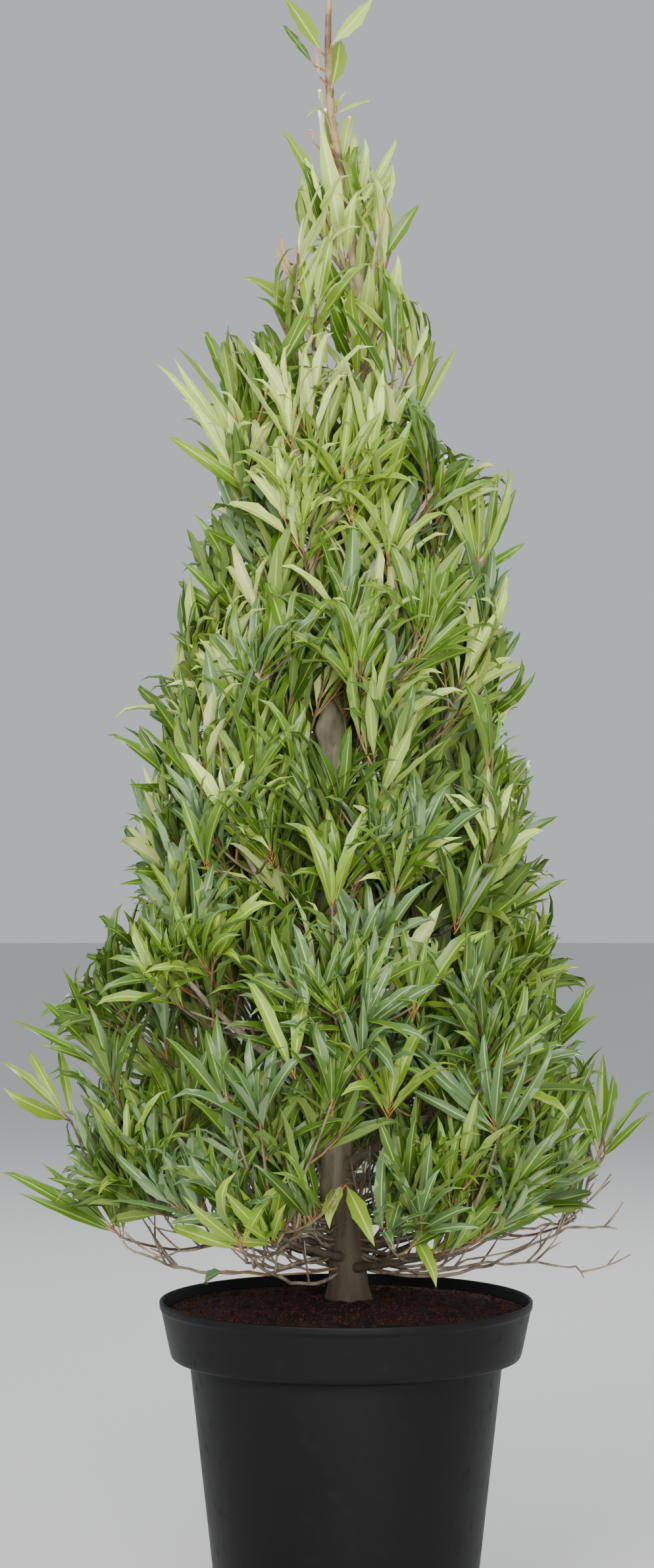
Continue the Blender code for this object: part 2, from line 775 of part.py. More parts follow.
def build():
    clear_scene()
    plant = new_collection("potted_bay_laurel")
    cutters = new_collection("cutters")
    black_plastic = material("black_plastic", (40, 40, 41), 0.55)
    peat = material("peat", (62, 46, 38), 0.95)
    bark = material("bark", (118, 102, 88), 0.8)

    make_pot(plant, cutters, black_plastic)
    make_soil(plant, peat)

    trunk, boughs, masses = plan_plant()
    section = three_sided_guide(cutters)
    points, radii = zip(*trunk)
    limb_curve("trunk", points, radii, plant, resolution=3)
    wider = [radius + GAP for radius in radii]
    limb_curve("trunk_cutter", points, wider, cutters, resolution=3)
    for name, path, taper in boughs:
        limb_curve(name, path, taper, plant)
    leaf = leaf_template()
    parts = {mass.name: start_mass(mass, section, leaf, plant) for mass in masses}
    curves_to_meshes(plant)
    bpy.data.objects.remove(section)
    curves_to_meshes(cutters)
    trunk_cutter = cutters.objects["trunk_cutter"]
    hide_guide(trunk_cutter)

    spread_roots(trunk_cutter)
    spread_roots(plant.objects["trunk"])
    finish_mesh(plant.objects["trunk"], bark, SMOOTH_ANGLE)
    for name, _, _ in boughs:
        item = plant.objects[name]
        cut_clear(item, trunk_cutter)
        finish_mesh(item, bark, SMOOTH_ANGLE)
    bough_names = [name for name, _, _ in boughs]
    for mass in masses:
        item = plant.objects[mass.name]
        join = item.modifiers.new("join", "BOOLEAN")
        join.operation = "UNION"
        join.operand_type = "COLLECTION"
        join.collection = parts[mass.name]
        if mass.stem[0].z < TRUNK_TIP and mass.name.replace("foliage", "bough") not in bough_names:
            cut_clear(item, trunk_cutter)
        colour = [blend(low, high, mass.level) for low, high in zip(LOW_GREEN, TOP_GREEN)]
        finish_mesh(item, material(mass.name, colour, LEAF_ROUGHNESS))
        for piece in list(parts[mass.name].objects):
            bpy.data.objects.remove(piece)
        bpy.data.collections.remove(parts[mass.name])


build()
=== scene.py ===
"""The looks of a potted bay laurel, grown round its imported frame.

Metres, +Z up. The trunk, boughs and stems follow the same rule as the solids. Finer twigs
grow on from them, and each ends in a spray of leaves.
"""

import math
import random
from collections import namedtuple

import bmesh
import bpy
import numpy as np
from mathutils import Matrix, Vector, noise


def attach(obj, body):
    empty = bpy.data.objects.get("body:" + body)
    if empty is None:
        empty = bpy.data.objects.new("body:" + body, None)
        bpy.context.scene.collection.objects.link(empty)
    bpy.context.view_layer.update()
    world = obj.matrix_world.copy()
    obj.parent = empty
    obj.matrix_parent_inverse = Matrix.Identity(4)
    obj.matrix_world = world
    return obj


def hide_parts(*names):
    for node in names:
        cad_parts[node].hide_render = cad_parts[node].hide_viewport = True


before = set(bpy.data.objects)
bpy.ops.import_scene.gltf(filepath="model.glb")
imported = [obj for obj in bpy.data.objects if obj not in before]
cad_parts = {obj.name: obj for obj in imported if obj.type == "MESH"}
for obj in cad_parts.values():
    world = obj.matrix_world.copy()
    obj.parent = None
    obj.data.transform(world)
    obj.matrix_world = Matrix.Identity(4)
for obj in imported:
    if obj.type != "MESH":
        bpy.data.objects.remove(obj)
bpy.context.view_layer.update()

# The photograph's view
PICTURE_WIDTH = 994
PICTURE_HEIGHT = 2383
CAMERA_PLACE = Vector((-0.0204, -3.78, 0.8865))
LENS = 81.0
SENSOR = 36.0
PIXEL = SENSOR / LENS * -CAMERA_PLACE.y / PICTURE_HEIGHT

# Studio: the floor, the room's own light, and the place, aim height and watts of each lamp
FLOOR_RADIUS = 16.0
FLOOR_SIDES = 48
FLOOR_COLOUR = (210, 210, 208)
ROOM_COLOUR = (222, 226, 232)
ROOM_STRENGTH = 0.72
LAMP_SIZE = 1.6
LAMPS = {
    "key": ((-1.4, -3.5, 2.4), 0.9, 124),
    "fill": ((0.7, -4.1, 1.2), 0.8, 137),
    "back": ((0.7, 2.8, 3.3), 0.9, 110),
}

# Pot
POT_HEIGHT = 0.335
POT_RIM_RADIUS = 0.200
POT_BAND_FOOT = POT_HEIGHT - 0.058
POT_BAND_FOOT_RADIUS = 0.188
POT_BODY_TOP_RADIUS = 0.168
POT_BASE_RADIUS = 0.1375
POT_WALL = 0.0022
POT_FLOOR = 0.0055
POT_EDGE_ROUND = 0.006
POT_CORNER_ROUND = 0.0014
# A rounded corner takes at most this share of the sides beside it
CORNER_SHARE = 0.45
POT_RECESS_RADIUS = 0.085
POT_RECESS_DEPTH = 0.0025
POT_STEPS = 144
# The pot's skin by radius and height, from the middle of its foot up and back down inside
POT_OUTSIDE = (
    (0, POT_RECESS_DEPTH),
    (POT_RECESS_RADIUS, POT_RECESS_DEPTH),
    (POT_RECESS_RADIUS + 0.004, 0),
    (POT_BASE_RADIUS - 0.0025, 0),
    (POT_BASE_RADIUS + 0.0008, POT_EDGE_ROUND),
    (POT_BASE_RADIUS + 0.97 * (POT_BODY_TOP_RADIUS - POT_BASE_RADIUS), POT_BAND_FOOT - 0.012),
    (POT_BODY_TOP_RADIUS, POT_BAND_FOOT - 0.0055),
    (POT_BAND_FOOT_RADIUS - 0.0085, POT_BAND_FOOT - 0.0052),
    (POT_BAND_FOOT_RADIUS - 0.0015, POT_BAND_FOOT - 0.0025),
    (POT_BAND_FOOT_RADIUS + 0.0004, POT_BAND_FOOT + 0.0025),
    (POT_RIM_RADIUS - 0.0022, POT_HEIGHT - 0.0105),
    (POT_RIM_RADIUS - 0.0004, POT_HEIGHT - 0.0080),
    (POT_RIM_RADIUS, POT_HEIGHT - 0.0012),
    (POT_RIM_RADIUS - 0.0016, POT_HEIGHT),
)
POT_INSIDE = (
    (POT_RIM_RADIUS - 0.0035, POT_HEIGHT - 0.0006),
    (POT_RIM_RADIUS - 0.0045, POT_HEIGHT - 0.0060),
    (POT_BAND_FOOT_RADIUS - POT_WALL * 1.6, POT_BAND_FOOT + 0.002),
    (POT_BODY_TOP_RADIUS - POT_WALL, POT_BAND_FOOT - 0.006),
    (POT_BASE_RADIUS - POT_WALL, 0.008),
    (POT_BASE_RADIUS - 0.006, POT_FLOOR),
    (0, POT_FLOOR),
)
DRAIN_HOLES = 8
DRAIN_RING_RADIUS = 0.105
DRAIN_HOLE_RADIUS = 0.007
DRAIN_HOLE_SIDES = 28
DRAIN_CUT_DEPTH = 0.030
SHARP_ANGLE = math.radians(55)

# Soil, and the crumbs that lie on it
SOIL_TOP = 0.3366
SOIL_FOOT = 0.009
SOIL_EDGE_DROP = 0.0140
SOIL_EDGE_RADIUS = 0.1935
SOIL_LUMP = 0.0036
SOIL_LUMP_SCALE = 34
SOIL_FRACTAL = (0.8, 2.1, 4)
SOIL_DOME_POWER = 1.3
SOIL_EDGE_POWER = 8
# The soil's side inside the pot, by radius and height
SOIL_SIDE = (
    (POT_BAND_FOOT_RADIUS - 0.005, POT_BAND_FOOT + 0.006),
    (POT_BODY_TOP_RADIUS - 0.004, POT_BAND_FOOT - 0.010),
    (POT_BASE_RADIUS - 0.004, SOIL_FOOT),
)
SOIL_RINGS = 44
SOIL_SPOKES = 128
CRUMB_KINDS = 6
CRUMB_WIDTHS = (0.5, 0.95)
CRUMB_HEIGHTS = (0.35, 0.7)
CRUMB_BUMPS = (0.75, 1.2)
CRUMB_DENSITY = 42000.0
CRUMB_SIZE = 0.0032
CRUMB_SIZE_SHARES = (0.35, 1.0)
CRUMB_SINK = 0.0006
CRUMB_RADII = (0.026, SOIL_EDGE_RADIUS - 0.004)
CRUMB_RINGS = 12
CRUMB_SPOKES = 48

# Trunk: height, x, y and radius at each bend
TRUNK_FOOT = 0.3343
TRUNK_BENDS = (
    (TRUNK_FOOT, 0.003, 0.000, 0.0225),
    (0.366, 0.002, 0.000, 0.0205),
    (0.396, 0.000, 0.001, 0.0200),
    (0.458, -0.008, 0.003, 0.0175),
    (0.600, -0.010, 0.006, 0.0170),
    (0.780, -0.013, 0.004, 0.0160),
    (0.931, -0.013, 0.000, 0.0150),
    (0.988, -0.013, -0.002, 0.0110),
    (1.150, 0.002, 0.002, 0.0095),
    (1.332, 0.023, 0.000, 0.0075),
    (1.500, 0.000, -0.003, 0.0058),
    (1.600, -0.016, 0.000, 0.0048),
)
TRUNK_TIP = TRUNK_BENDS[-1][0]
TRUNK_TIP_RADIUS = TRUNK_BENDS[-1][3]
TRUNK_RING_STEP = 0.0032
TRUNK_SIDES = 56
FLARE_HEIGHT = 0.026
FLARE_SPREAD = 0.20
FLARE_LOBES = 4
FLARE_LOBE_SHARE = 0.4
FLARE_TURN = 1.0
FLARE_POWER = 1.6
# Ridges and grain of the bark: scales round and up the trunk, and height as a share of its radius
BARK_RIDGES = (2.4, 14, 0.05)
BARK_GRAIN = (9, 60, 0.022)
# Knots: height, angle and swelling of each, and how far they spread up and round
TRUNK_KNOTS = (
    (0.405, 0.4, 0.22),
    (0.452, 3.6, 0.25),
    (0.520, 5.2, 0.20),
    (0.590, 1.6, 0.24),
    (0.670, 4.2, 0.18),
    (0.760, 2.6, 0.22),
    (0.850, 5.6, 0.18),
    (0.946, 3.3, 0.42),
    (0.978, 5.9, 0.30),
    (1.080, 1.2, 0.25),
    (1.200, 3.9, 0.25),
    (1.334, 0.2, 0.45),
)
KNOT_HEIGHT = 0.014
KNOT_TURN = 0.7

# Crown: how far it reaches to the viewer's left and right at each height
TOTAL_HEIGHT = 1.800
REACH_LEFT = (
    (0.355, 0.190),
    (0.430, 0.300),
    (0.480, 0.372),
    (0.600, 0.376),
    (0.660, 0.350),
    (0.720, 0.290),
    (0.800, 0.246),
    (0.970, 0.246),
    (1.050, 0.192),
    (1.200, 0.168),
    (1.360, 0.204),
    (1.430, 0.115),
    (1.600, 0.080),
    (TOTAL_HEIGHT, 0.040),
)
REACH_RIGHT = (
    (0.355, 0.240),
    (0.430, 0.290),
    (0.560, 0.336),
    (0.640, 0.280),
    (0.740, 0.240),
    (0.860, 0.228),
    (1.030, 0.202),
    (1.160, 0.190),
    (1.250, 0.178),
    (1.300, 0.110),
    (1.360, 0.122),
    (1.430, 0.078),
    (1.600, 0.072),
    (TOTAL_HEIGHT, 0.016),
)
# The same reach to the finer outline of the leaves
LEAVES_LEFT = (
    (0.345, 0.150),
    (0.400, 0.235),
    (0.428, 0.285),
    (0.456, 0.330),
    (0.484, 0.335),
    (0.512, 0.285),
    (0.540, 0.315),
    (0.570, 0.335),
    (0.640, 0.330),
    (0.668, 0.305),
    (0.696, 0.282),
    (0.724, 0.266),
    (0.780, 0.262),
    (0.850, 0.240),
    (0.920, 0.232),
    (0.962, 0.258),
    (1.000, 0.222),
    (1.035, 0.192),
    (1.070, 0.176),
    (1.130, 0.186),
    (1.175, 0.168),
    (1.205, 0.138),
    (1.240, 0.172),
    (1.290, 0.196),
    (1.345, 0.206),
    (1.372, 0.160),
    (1.395, 0.104),
    (1.440, 0.112),
    (1.470, 0.070),
    (1.560, 0.060),
    (1.620, 0.056),
    (TOTAL_HEIGHT, 0.050),
)
LEAVES_RIGHT = (
    (0.345, 0.170),
    (0.400, 0.230),
    (0.428, 0.270),
    (0.484, 0.275),
    (0.512, 0.288),
    (0.540, 0.292),
    (0.600, 0.290),
    (0.630, 0.272),
    (0.668, 0.268),
    (0.724, 0.236),
    (0.780, 0.226),
    (0.850, 0.222),
    (0.880, 0.200),
    (0.920, 0.204),
    (0.990, 0.196),
    (1.020, 0.200),
    (1.070, 0.180),
    (1.130, 0.186),
    (1.190, 0.188),
    (1.225, 0.170),
    (1.250, 0.092),
    (1.300, 0.088),
    (1.350, 0.114),
    (1.375, 0.092),
    (1.420, 0.070),
    (1.500, 0.072),
    (1.560, 0.046),
    (1.620, 0.030),
    (TOTAL_HEIGHT, 0.020),
)
# The power by which the reach turns from the finer outline at the sides to the whole in depth
DEPTH_POWER = 4
# Parts of the crown: height of the foot at the axis, slope, tiers, columns and first angle
CROWN_PARTS = (
    (0.340, 0.00, 3, 7, 12),
    (0.730, 1.10, 2, 6, 40),
    (1.130, 1.50, 2, 4, 20),
    (1.520, 2.00, 0, 0, 0),
)
CROWN_FOOT = CROWN_PARTS[0][0]
TOP_CONE_FOOT = CROWN_PARTS[-1][0]
COLUMN_TWIST = math.radians(80)
STAGGER_STEP = 0.618
STAGGER_DEPTH = 0.7
SEED = 1944
# How far the seeds of one level's limbs lie from the next level's
LEVEL_SEEDS = 100
GOLDEN_TURN = math.radians(137.5)

# Limbs. Values by level run from the foot up
LIMB_STEPS = 6
LIMB_SWAY = 0.25
STEM_REACH = 0.75
STEM_FIRST_GUESS = 0.2
STEM_LOW_SHARE = 0.30
STEM_HIGH_SHARE = 0.46
LIMB_ROOT_RADII = (0.0050, 0.0056, 0.0058, 0.0056, 0.0050, 0.0040, 0.0030)
LIMB_TIP_SHARE = 0.36
LIMB_END = 0.82
BARE_SHARES = (0.5, 0.17, 0.12, 0.12, 0.12, 0.12, 0.12)
COLLAR = 0.5
COLLAR_LENGTH = 0.040

# Twigs on the limbs, and finer twigs on those
SIDE_TWIGS = (9, 9, 8, 8, 7, 4, 2)
TWIG_SHARES = (0.22, 0.97)
TWIG_LEAN = 0.75
TWIG_RISE = (0.75, 1.35)
TWIG_LONGEST = 0.150
TWIG_SHORTEST = 0.020
TWIG_LENGTH_JITTER = (0.55, 1.0)
TWIG_ARCH = 0.16
TWIG_RADII = (0.0019, 0.0012)
TWIG_TRIES = 5
TWIG_TRY_TURN = 1.1
BUSHY_LEVELS = 5
FINE_TWIG_SHARES = (0.38, 0.66)
FINE_TWIG_TURN = 2.2
FINE_TWIG_LEAN = 0.8
FINE_TWIG_LEAST_HOST = 0.04
FINE_TWIG_LONGEST = 0.070
FINE_TWIG_JITTER = (0.6, 1.0)
FINE_TWIG_ARCH = 0.12
FINE_TWIG_FEWER_LEAVES = 2
FINE_TWIG_LEAF_SHARE = 0.92
SHOOT_RADII = (0.0014, 0.0010)
ARCH_MIDDLE = 0.55
ROOM_STEP = 0.01
ROOM_SHARE = 0.86
# A spray is carried by the nearest limb that is at least this far under its root
ANCHOR_DROP = 0.004

# Sprays of leaves. A leaf's length as a share of the longest rises and then falls down the spray
LEAVES_PER_SPRAY = (11, 11, 11, 11, 10, 8, 7)
LEAFY_LENGTH = 0.042
LEAFY_POWER = 1.2
LEAF_RISE = (0.55, 1.30)
LEAF_RISE_POWER = 0.6
LEAF_RISE_SHARE = 0.35
LEAF_LENGTHS = (0.098, 0.112)
LEAF_LENGTH_JITTER = (0.82, 1.14)
LEAF_WIDTH_JITTER = (0.74, 1.14)
YOUNG_LEAVES = (0.50, 1.5)
OLD_LEAVES = (1.25, -0.3)
SPREADS = (0.14, 0.92)
SPREAD_POWER = 0.9
SPREAD_JITTER = (0.75, 1.2)
# How a leaf turns, opens and shortens at each try to fit
LEAF_TRIES = 3
LEAF_TRY_TURN = 0.7
LEAF_TRY_SPREAD = 0.06
LEAF_TRY_SHRINK = 0.08
LEAF_MIDDLE = 0.55
# A leaf takes its shoot's direction from this share of the path below it
JUST_BELOW = 1e-3
# A leaf that points nearly along its shoot takes its face from the way that it leans
LEAST_FACE = 0.05
# A shoot that runs straight up, to this measure, has no side of its own
LEAST_SIDE = 1e-4

# The grown twigs and leaves leave the leader alone above these heights
TWIG_CEILING = 1.50
LEAF_CEILING = 1.56
TRUNK_CLEARANCE = 0.003
LOWEST_LEAF = ((0.00, 0.450), (0.12, 0.432), (0.22, 0.425), (0.30, 0.408), (0.40, 0.402))
# Openings of the foliage in the picture: middle and half sizes in pixels, and how deep they go
SKY = 1.0
OPENINGS = (
    (505, 1112, 40, 92, 0.02),
    (520, 1842, 64, 120, 0.03),
    (420, 1612, 34, 12, 0.00),
    (470, 1440, 10, 24, -0.06),
    (478, 612, 13, 42, SKY),
    (428, 500, 18, 34, SKY),
    (593, 600, 11, 48, SKY),
    (430, 300, 26, 110, SKY),
    (640, 400, 30, 60, SKY),
    (610, 150, 70, 60, SKY),
    (692, 850, 15, 48, SKY),
    (318, 730, 24, 30, SKY),
    (318, 850, 10, 30, SKY),
    (655, 700, 14, 30, SKY),
    (890, 1700, 12, 44, SKY),
)

# Bare twigs low down, forked all the way
BARE_TWIGS = 64
BARE_TWIG_STEPS = 7
BARE_TWIG_HEIGHTS = (0.364, 0.470)
BARE_TWIG_REACHES = (0.08, 0.25)
BARE_TWIG_CLIMB = (0.030, 0.140)
BARE_TWIG_CLIMB_POWER = 2.4
BARE_TWIG_SAG = 0.009
BARE_TWIG_TURN = 0.05
BARE_TWIG_BUMP = 0.003
BARE_TWIG_RADII = (0.0020, 0.0009)
BARE_TWIG_KINK = 0.0028
LOWEST_TWIG = 0.346
# The viewer's direction from the trunk, and half the angle there that they leave open
VIEWER_TURN = math.pi * 1.5
TRUNK_VIEW = 0.35
# Forks on the bare twigs, and smaller forks on those
FORKS = (3, 6)
PLACED_TWIG_FORKS = 4
FORK_SHARES = (0.25, 0.92)
FORK_LENGTHS = (0.030, 0.085)
FORK_TURN = 1.5
FORK_SPREAD = 0.75
FORK_RISE = 0.6
FORK_ARCH = 0.12
FORK_RADII = (0.0014, 0.0007)
SMALL_FORK_CHANCE = 0.6
SMALL_FORK_SPREAD = 0.7
SMALL_FORK_SHARE = 0.45
SMALL_FORK_RADII = (0.0011, 0.0006)
# Bare twigs that show in the picture: depth of the tip, radii in mm and pixels on the way
PLACED_TWIGS = (
    (-0.03, 2.4, 1.2, (526, 1893), (470, 1915), (400, 1934), (330, 1935), (260, 1924), (215, 1907),
     (187, 1882)),
    (-0.10, 2.0, 1.0, (526, 1905), (470, 1918), (400, 1900), (330, 1893), (270, 1903), (228, 1914)),
    (-0.22, 2.4, 1.3, (526, 1900), (470, 1918), (415, 1925), (378, 1918), (368, 1900)),
    (-0.15, 1.9, 0.9, (526, 1885), (475, 1880), (430, 1860), (405, 1840), (400, 1815)),
    (-0.12, 1.7, 0.8, (526, 1880), (485, 1880), (455, 1862), (440, 1845)),
    (-0.05, 2.0, 0.9, (526, 1875), (440, 1893), (360, 1885), (290, 1880), (240, 1868)),
    (-0.02, 1.9, 0.9, (526, 1860), (450, 1868), (370, 1858), (300, 1846), (250, 1825)),
    (-0.20, 2.4, 1.5, (526, 1925), (490, 1950), (440, 1948), (400, 1930), (380, 1918)),
    (0.00, 2.5, 1.0, (526, 1905), (610, 1938), (700, 1935), (760, 1912), (840, 1875), (900, 1862),
     (941, 1865)),
    (-0.04, 2.1, 0.8, (526, 1915), (640, 1932), (740, 1920), (820, 1922), (868, 1924), (888, 1938)),
    (0.02, 2.1, 1.1, (526, 1890), (630, 1912), (720, 1895), (790, 1870), (850, 1858), (871, 1855)),
    (0.00, 2.0, 1.2, (850, 1858), (874, 1835), (895, 1795), (910, 1764)),
    (-0.19, 2.2, 1.3, (526, 1895), (610, 1925), (690, 1905), (735, 1870), (752, 1840), (757, 1729)),
    (-0.14, 1.8, 0.8, (526, 1880), (590, 1888), (640, 1870), (690, 1862), (730, 1850)),
    (-0.10, 1.8, 0.8, (526, 1895), (575, 1922), (600, 1895), (612, 1870), (625, 1862)),
    (-0.16, 1.6, 0.7, (526, 1888), (600, 1908), (660, 1900), (720, 1890), (800, 1876)),
    (-0.06, 1.8, 0.8, (526, 1860), (600, 1862), (680, 1850), (750, 1832), (810, 1800)),
)

# The leader's way up from the trunk's tip, in pixels, past the picture's edge
LEADER_PIXELS = ((499, 90), (499, 30), (502, -30), (503, -55))
LEADER_DEPTH = -0.010
LEADER_TIP_RADIUS = 0.0020
# The trunk itself carries leaves from this height to its tip, at this many steps
LEADER_FOOT = 1.30
LEADER_ANCHORS = 12
# The spray at its tip: points of its path, leaves, their length and how they rise
TIP_SPRAY_POINTS = 6
TIP_SPRAY = (7, 0.075, 1.4)
# Leaves of the leader that point to and from the viewer
LEADER_SIDE_LEAVES = 6
LEADER_SIDE_HEIGHTS = (1.34, 1.54)
LEADER_SIDE_TURN = 0.5
LEADER_SIDE_SPREADS = (0.3, 0.6)
LEADER_SIDE_LENGTHS = (0.07, 0.11)
LEADER_SIDE_GREENS = ("pale_young", "yellow_green", "fresh_green")

# How much wider a placed leaf is than it shows, as it is folded and turned
PLACED_WIDTH = 1.05
PLACED_LENGTHS = (0.085, 0.105)
PLACED_TILT = 0.6
PLACED_TRIES = 8
PLACED_RETREAT = 0.4
LEAST_LEAN = 0.012
# Leaves of the leader from this width in pixels are straight, and the viewer sees their face
WIDE_LEAF = 18
# A leaf that starts further than this from what carries it gets a shoot
LEAF_SEAT = 0.012
SHOOT_ARCH = 0.1
# Leaves placed by the picture: root and tip pixels and width in pixels
LEADER_LEAVES = (
    ("yellow_green", (489, 80, 438, -8, 27), (504, 134, 523, 62, 27), (500, 320, 431, 194, 21)),
    ("yellow_green", (510, 640, 450, 504, 29), (460, 480, 368, 420, 24), (535, 460, 583, 370, 29)),
    ("pale_young", (503, 68, 571, 0, 22), (506, 226, 491, 164, 24), (522, 396, 494, 188, 27)),
    ("pale_young", (551, 362, 583, 300, 22), (586, 497, 608, 387, 22), (500, 565, 467, 444, 19)),
    ("pale_young", (537, 335, 534, 201, 15), (537, 330, 599, 210, 12), (540, 342, 591, 249, 10)),
    ("pale_young", (537, 330, 551, 208, 14), (541, 345, 591, 276, 12), (556, 560, 520, 448, 20)),
    ("pale_young", (557, 560, 578, 430, 18), (556, 565, 600, 470, 16), (555, 640, 572, 540, 18)),
    ("fresh_green", (575, 402, 641, 312, 20), (520, 482, 477, 366, 24), (530, 520, 492, 420, 18)),
    ("mid_green", (478, 100, 427, 39, 10), (452, 532, 388, 449, 12), (502, 352, 462, 245, 18)),
    ("mid_green", (528, 400, 512, 300, 16), (560, 500, 590, 420, 14), (535, 545, 560, 455, 16)),
    ("pale_young", (507, 175, 561, 157, 7), (495, 174, 466, 180, 7), (586, 495, 632, 452, 7)),
    ("pale_young", (492, 170, 490, 144, 8), (512, 168, 527, 140, 8), (452, 430, 437, 404, 10)),
    ("pale_young", (528, 392, 545, 292, 20), (548, 500, 566, 400, 24), (565, 640, 588, 530, 22)),
    ("yellow_green", (503, 235, 495, 164, 22), (536, 330, 530, 222, 14), (552, 540, 540, 430, 22)),
    ("yellow_green", (530, 640, 520, 540, 24), (545, 590, 560, 490, 20)),
    ("mid_green", (545, 330, 537, 216, 16), (540, 560, 505, 470, 20), (490, 360, 466, 262, 18)),
    ("fresh_green", (520, 480, 500, 385, 22), (556, 320, 553, 222, 14)),
    ("bud", (486, 117, 484, 76, 7), (475, 214, 472, 197, 6), (451, 440, 422, 371, 8)),
    ("bud", (451, 440, 430, 353, 7), (452, 440, 453, 367, 7), (530, 520, 526, 474, 7)),
)
# Leaves that hang in front of the trunk's foot, in rows like the leader's
HANGING_DEPTH = -0.15
HANGING_LEAVES = (
    ("pale_young", (520, 1800, 497, 1868, 24)),
    ("yellow_green", (514, 1806, 483, 1850, 18), (526, 1800, 566, 1896, 24), (624, 1868, 660, 1957, 21)),
    ("mid_green", (342, 1931, 317, 1950, 18)),
)
# Sprays placed by the picture: green, depth from the axis, root and then tips with widths
SPRAY_STEM = 0.018
SPRAY_SAG = 0.1
PLACED_SPRAYS = (
    ("pale_young", -0.02, (385, 722), (235, 555, 13), (267, 542, 14), (300, 547, 17), (322, 510, 18),
     (350, 515, 15)),
    ("yellow_green", -0.03, (390, 735), (365, 504, 18), (403, 503, 20), (427, 548, 18), (458, 553, 18)),
    ("yellow_green", -0.01, (404, 768), (257, 661, 20), (300, 690, 16), (345, 640, 17)),
    ("fresh_green", 0.0, (396, 850), (338, 750, 16), (354, 744, 16), (310, 800, 14)),
    ("fresh_green", 0.01, (355, 886), (290, 785, 17), (318, 800, 15), (345, 790, 16)),
    ("fresh_green", -0.01, (372, 950), (277, 852, 17), (271, 883, 15), (320, 850, 16), (350, 845, 17)),
    ("mid_green", 0.01, (350, 1034), (291, 934, 16), (255, 963, 17), (320, 930, 16), (350, 925, 16)),
    ("fresh_green", 0.0, (340, 1088), (273, 1008, 17), (300, 985, 15), (262, 1050, 14)),
    ("mid_green", 0.0, (300, 1130), (208, 1046, 17), (240, 1030, 15), (225, 1090, 14)),
    ("fresh_green", 0.01, (280, 1204), (161, 1117, 16), (195, 1189, 14), (210, 1110, 16), (250, 1100, 16)),
    ("fresh_green", -0.01, (290, 1334), (205, 1234, 17), (197, 1247, 14), (184, 1326, 14), (240, 1230, 16),
     (179, 1341, 13)),
    ("mid_green", 0.0, (240, 1484), (146, 1395, 16), (156, 1410, 14), (129, 1458, 15), (190, 1380, 16)),
    ("fresh_green", 0.0, (165, 1624), (99, 1469, 17), (63, 1516, 16), (16, 1545, 15), (130, 1500, 15),
     (60, 1590, 14)),
    ("yellow_green", 0.0, (110, 1708), (2, 1655, 22), (0, 1616, 16), (40, 1600, 15), (90, 1600, 15)),
    ("fresh_green", -0.03, (187, 1882), (2, 1784, 16), (23, 1779, 14), (67, 1765, 16), (99, 1759, 16),
     (28, 1808, 15), (150, 1742, 18), (188, 1738, 18)),
    ("yellow_green", -0.02, (623, 658), (619, 466, 24), (637, 503, 15), (661, 519, 14), (675, 541, 10),
     (699, 526, 13)),
    ("yellow_green", -0.01, (728, 872), (646, 734, 17), (704, 725, 16), (724, 727, 14), (773, 707, 15)),
    ("fresh_green", 0.0, (732, 868), (761, 720, 15), (787, 742, 14), (797, 823, 12)),
    ("fresh_green", -0.03, (665, 792), (650, 666, 17), (678, 689, 16), (718, 689, 13)),
    ("fresh_green", 0.0, (705, 1034), (771, 917, 16), (775, 952, 14), (771, 981, 14), (762, 1019, 12),
     (720, 900, 17)),
    ("mid_green", 0.01, (735, 1094), (811, 1017, 15), (790, 1000, 15), (760, 985, 17)),
    ("fresh_green", 0.0, (740, 1244), (795, 1153, 16), (817, 1180, 14), (760, 1130, 17), (740, 1120, 16)),
    ("mid_green", 0.0, (745, 1294), (850, 1243, 15), (800, 1220, 15)),
    ("fresh_green", 0.01, (745, 1404), (789, 1298, 16), (812, 1307, 15), (830, 1323, 15), (863, 1333, 14),
     (750, 1290, 16)),
    ("mid_green", 0.0, (775, 1514), (855, 1425, 16), (852, 1448, 14), (820, 1400, 16), (790, 1390, 16)),
    ("fresh_green", 0.0, (825, 1614), (888, 1492, 16), (904, 1494, 15), (912, 1535, 14), (850, 1480, 17),
     (820, 1480, 17)),
    ("fresh_green", 0.0, (910, 1764), (849, 1609, 18), (868, 1605, 18), (922, 1601, 18), (930, 1635, 16),
     (992, 1655, 13), (993, 1691, 12)),
    ("blue_green", 0.02, (871, 1855), (852, 1772, 18), (905, 1712, 15), (880, 1745, 15), (835, 1760, 14)),
    ("blue_green", -0.20, (757, 1729), (629, 1585, 15), (639, 1606, 14), (614, 1648, 14), (715, 1531, 16),
     (766, 1580, 16), (839, 1582, 15), (690, 1600, 15), (740, 1560, 14), (800, 1600, 14)),
    ("yellow_green", -0.24, (368, 1901), (280, 1815, 18), (265, 1865, 20), (360, 1780, 20), (440, 1790, 20),
     (330, 1790, 16), (405, 1800, 16)),
    ("mid_green", 0.10, (350, 1690), (305, 1575, 20), (335, 1560, 20), (368, 1580, 20), (325, 1605, 18),
     (392, 1592, 18)),
    ("mid_green", 0.12, (385, 1640), (360, 1530, 20), (378, 1515, 20), (394, 1530, 20), (348, 1560, 18)),
)
# Sprays that open towards the viewer, from a share of the crown's depth
STAR_DEPTH = 0.72
STAR_LEAST_DEPTH = 0.02
STAR_MARGIN = 0.004
STAR_LEAN = (0.8, -0.55, 0.30)
STAR_STEM = 0.02
STAR_ARCH = 0.15
STAR_LEAVES = 10
STAR_SPREADS = (0.15, 1.0)
STAR_RISE = 0.35
STAR_LEAF = 0.110
STAR_YOUNG_LEAVES = (0.55, 1.5)
STAR_LENGTH_JITTER = (0.80, 1.1)
STAR_WIDTH_JITTER = (0.85, 1.2)
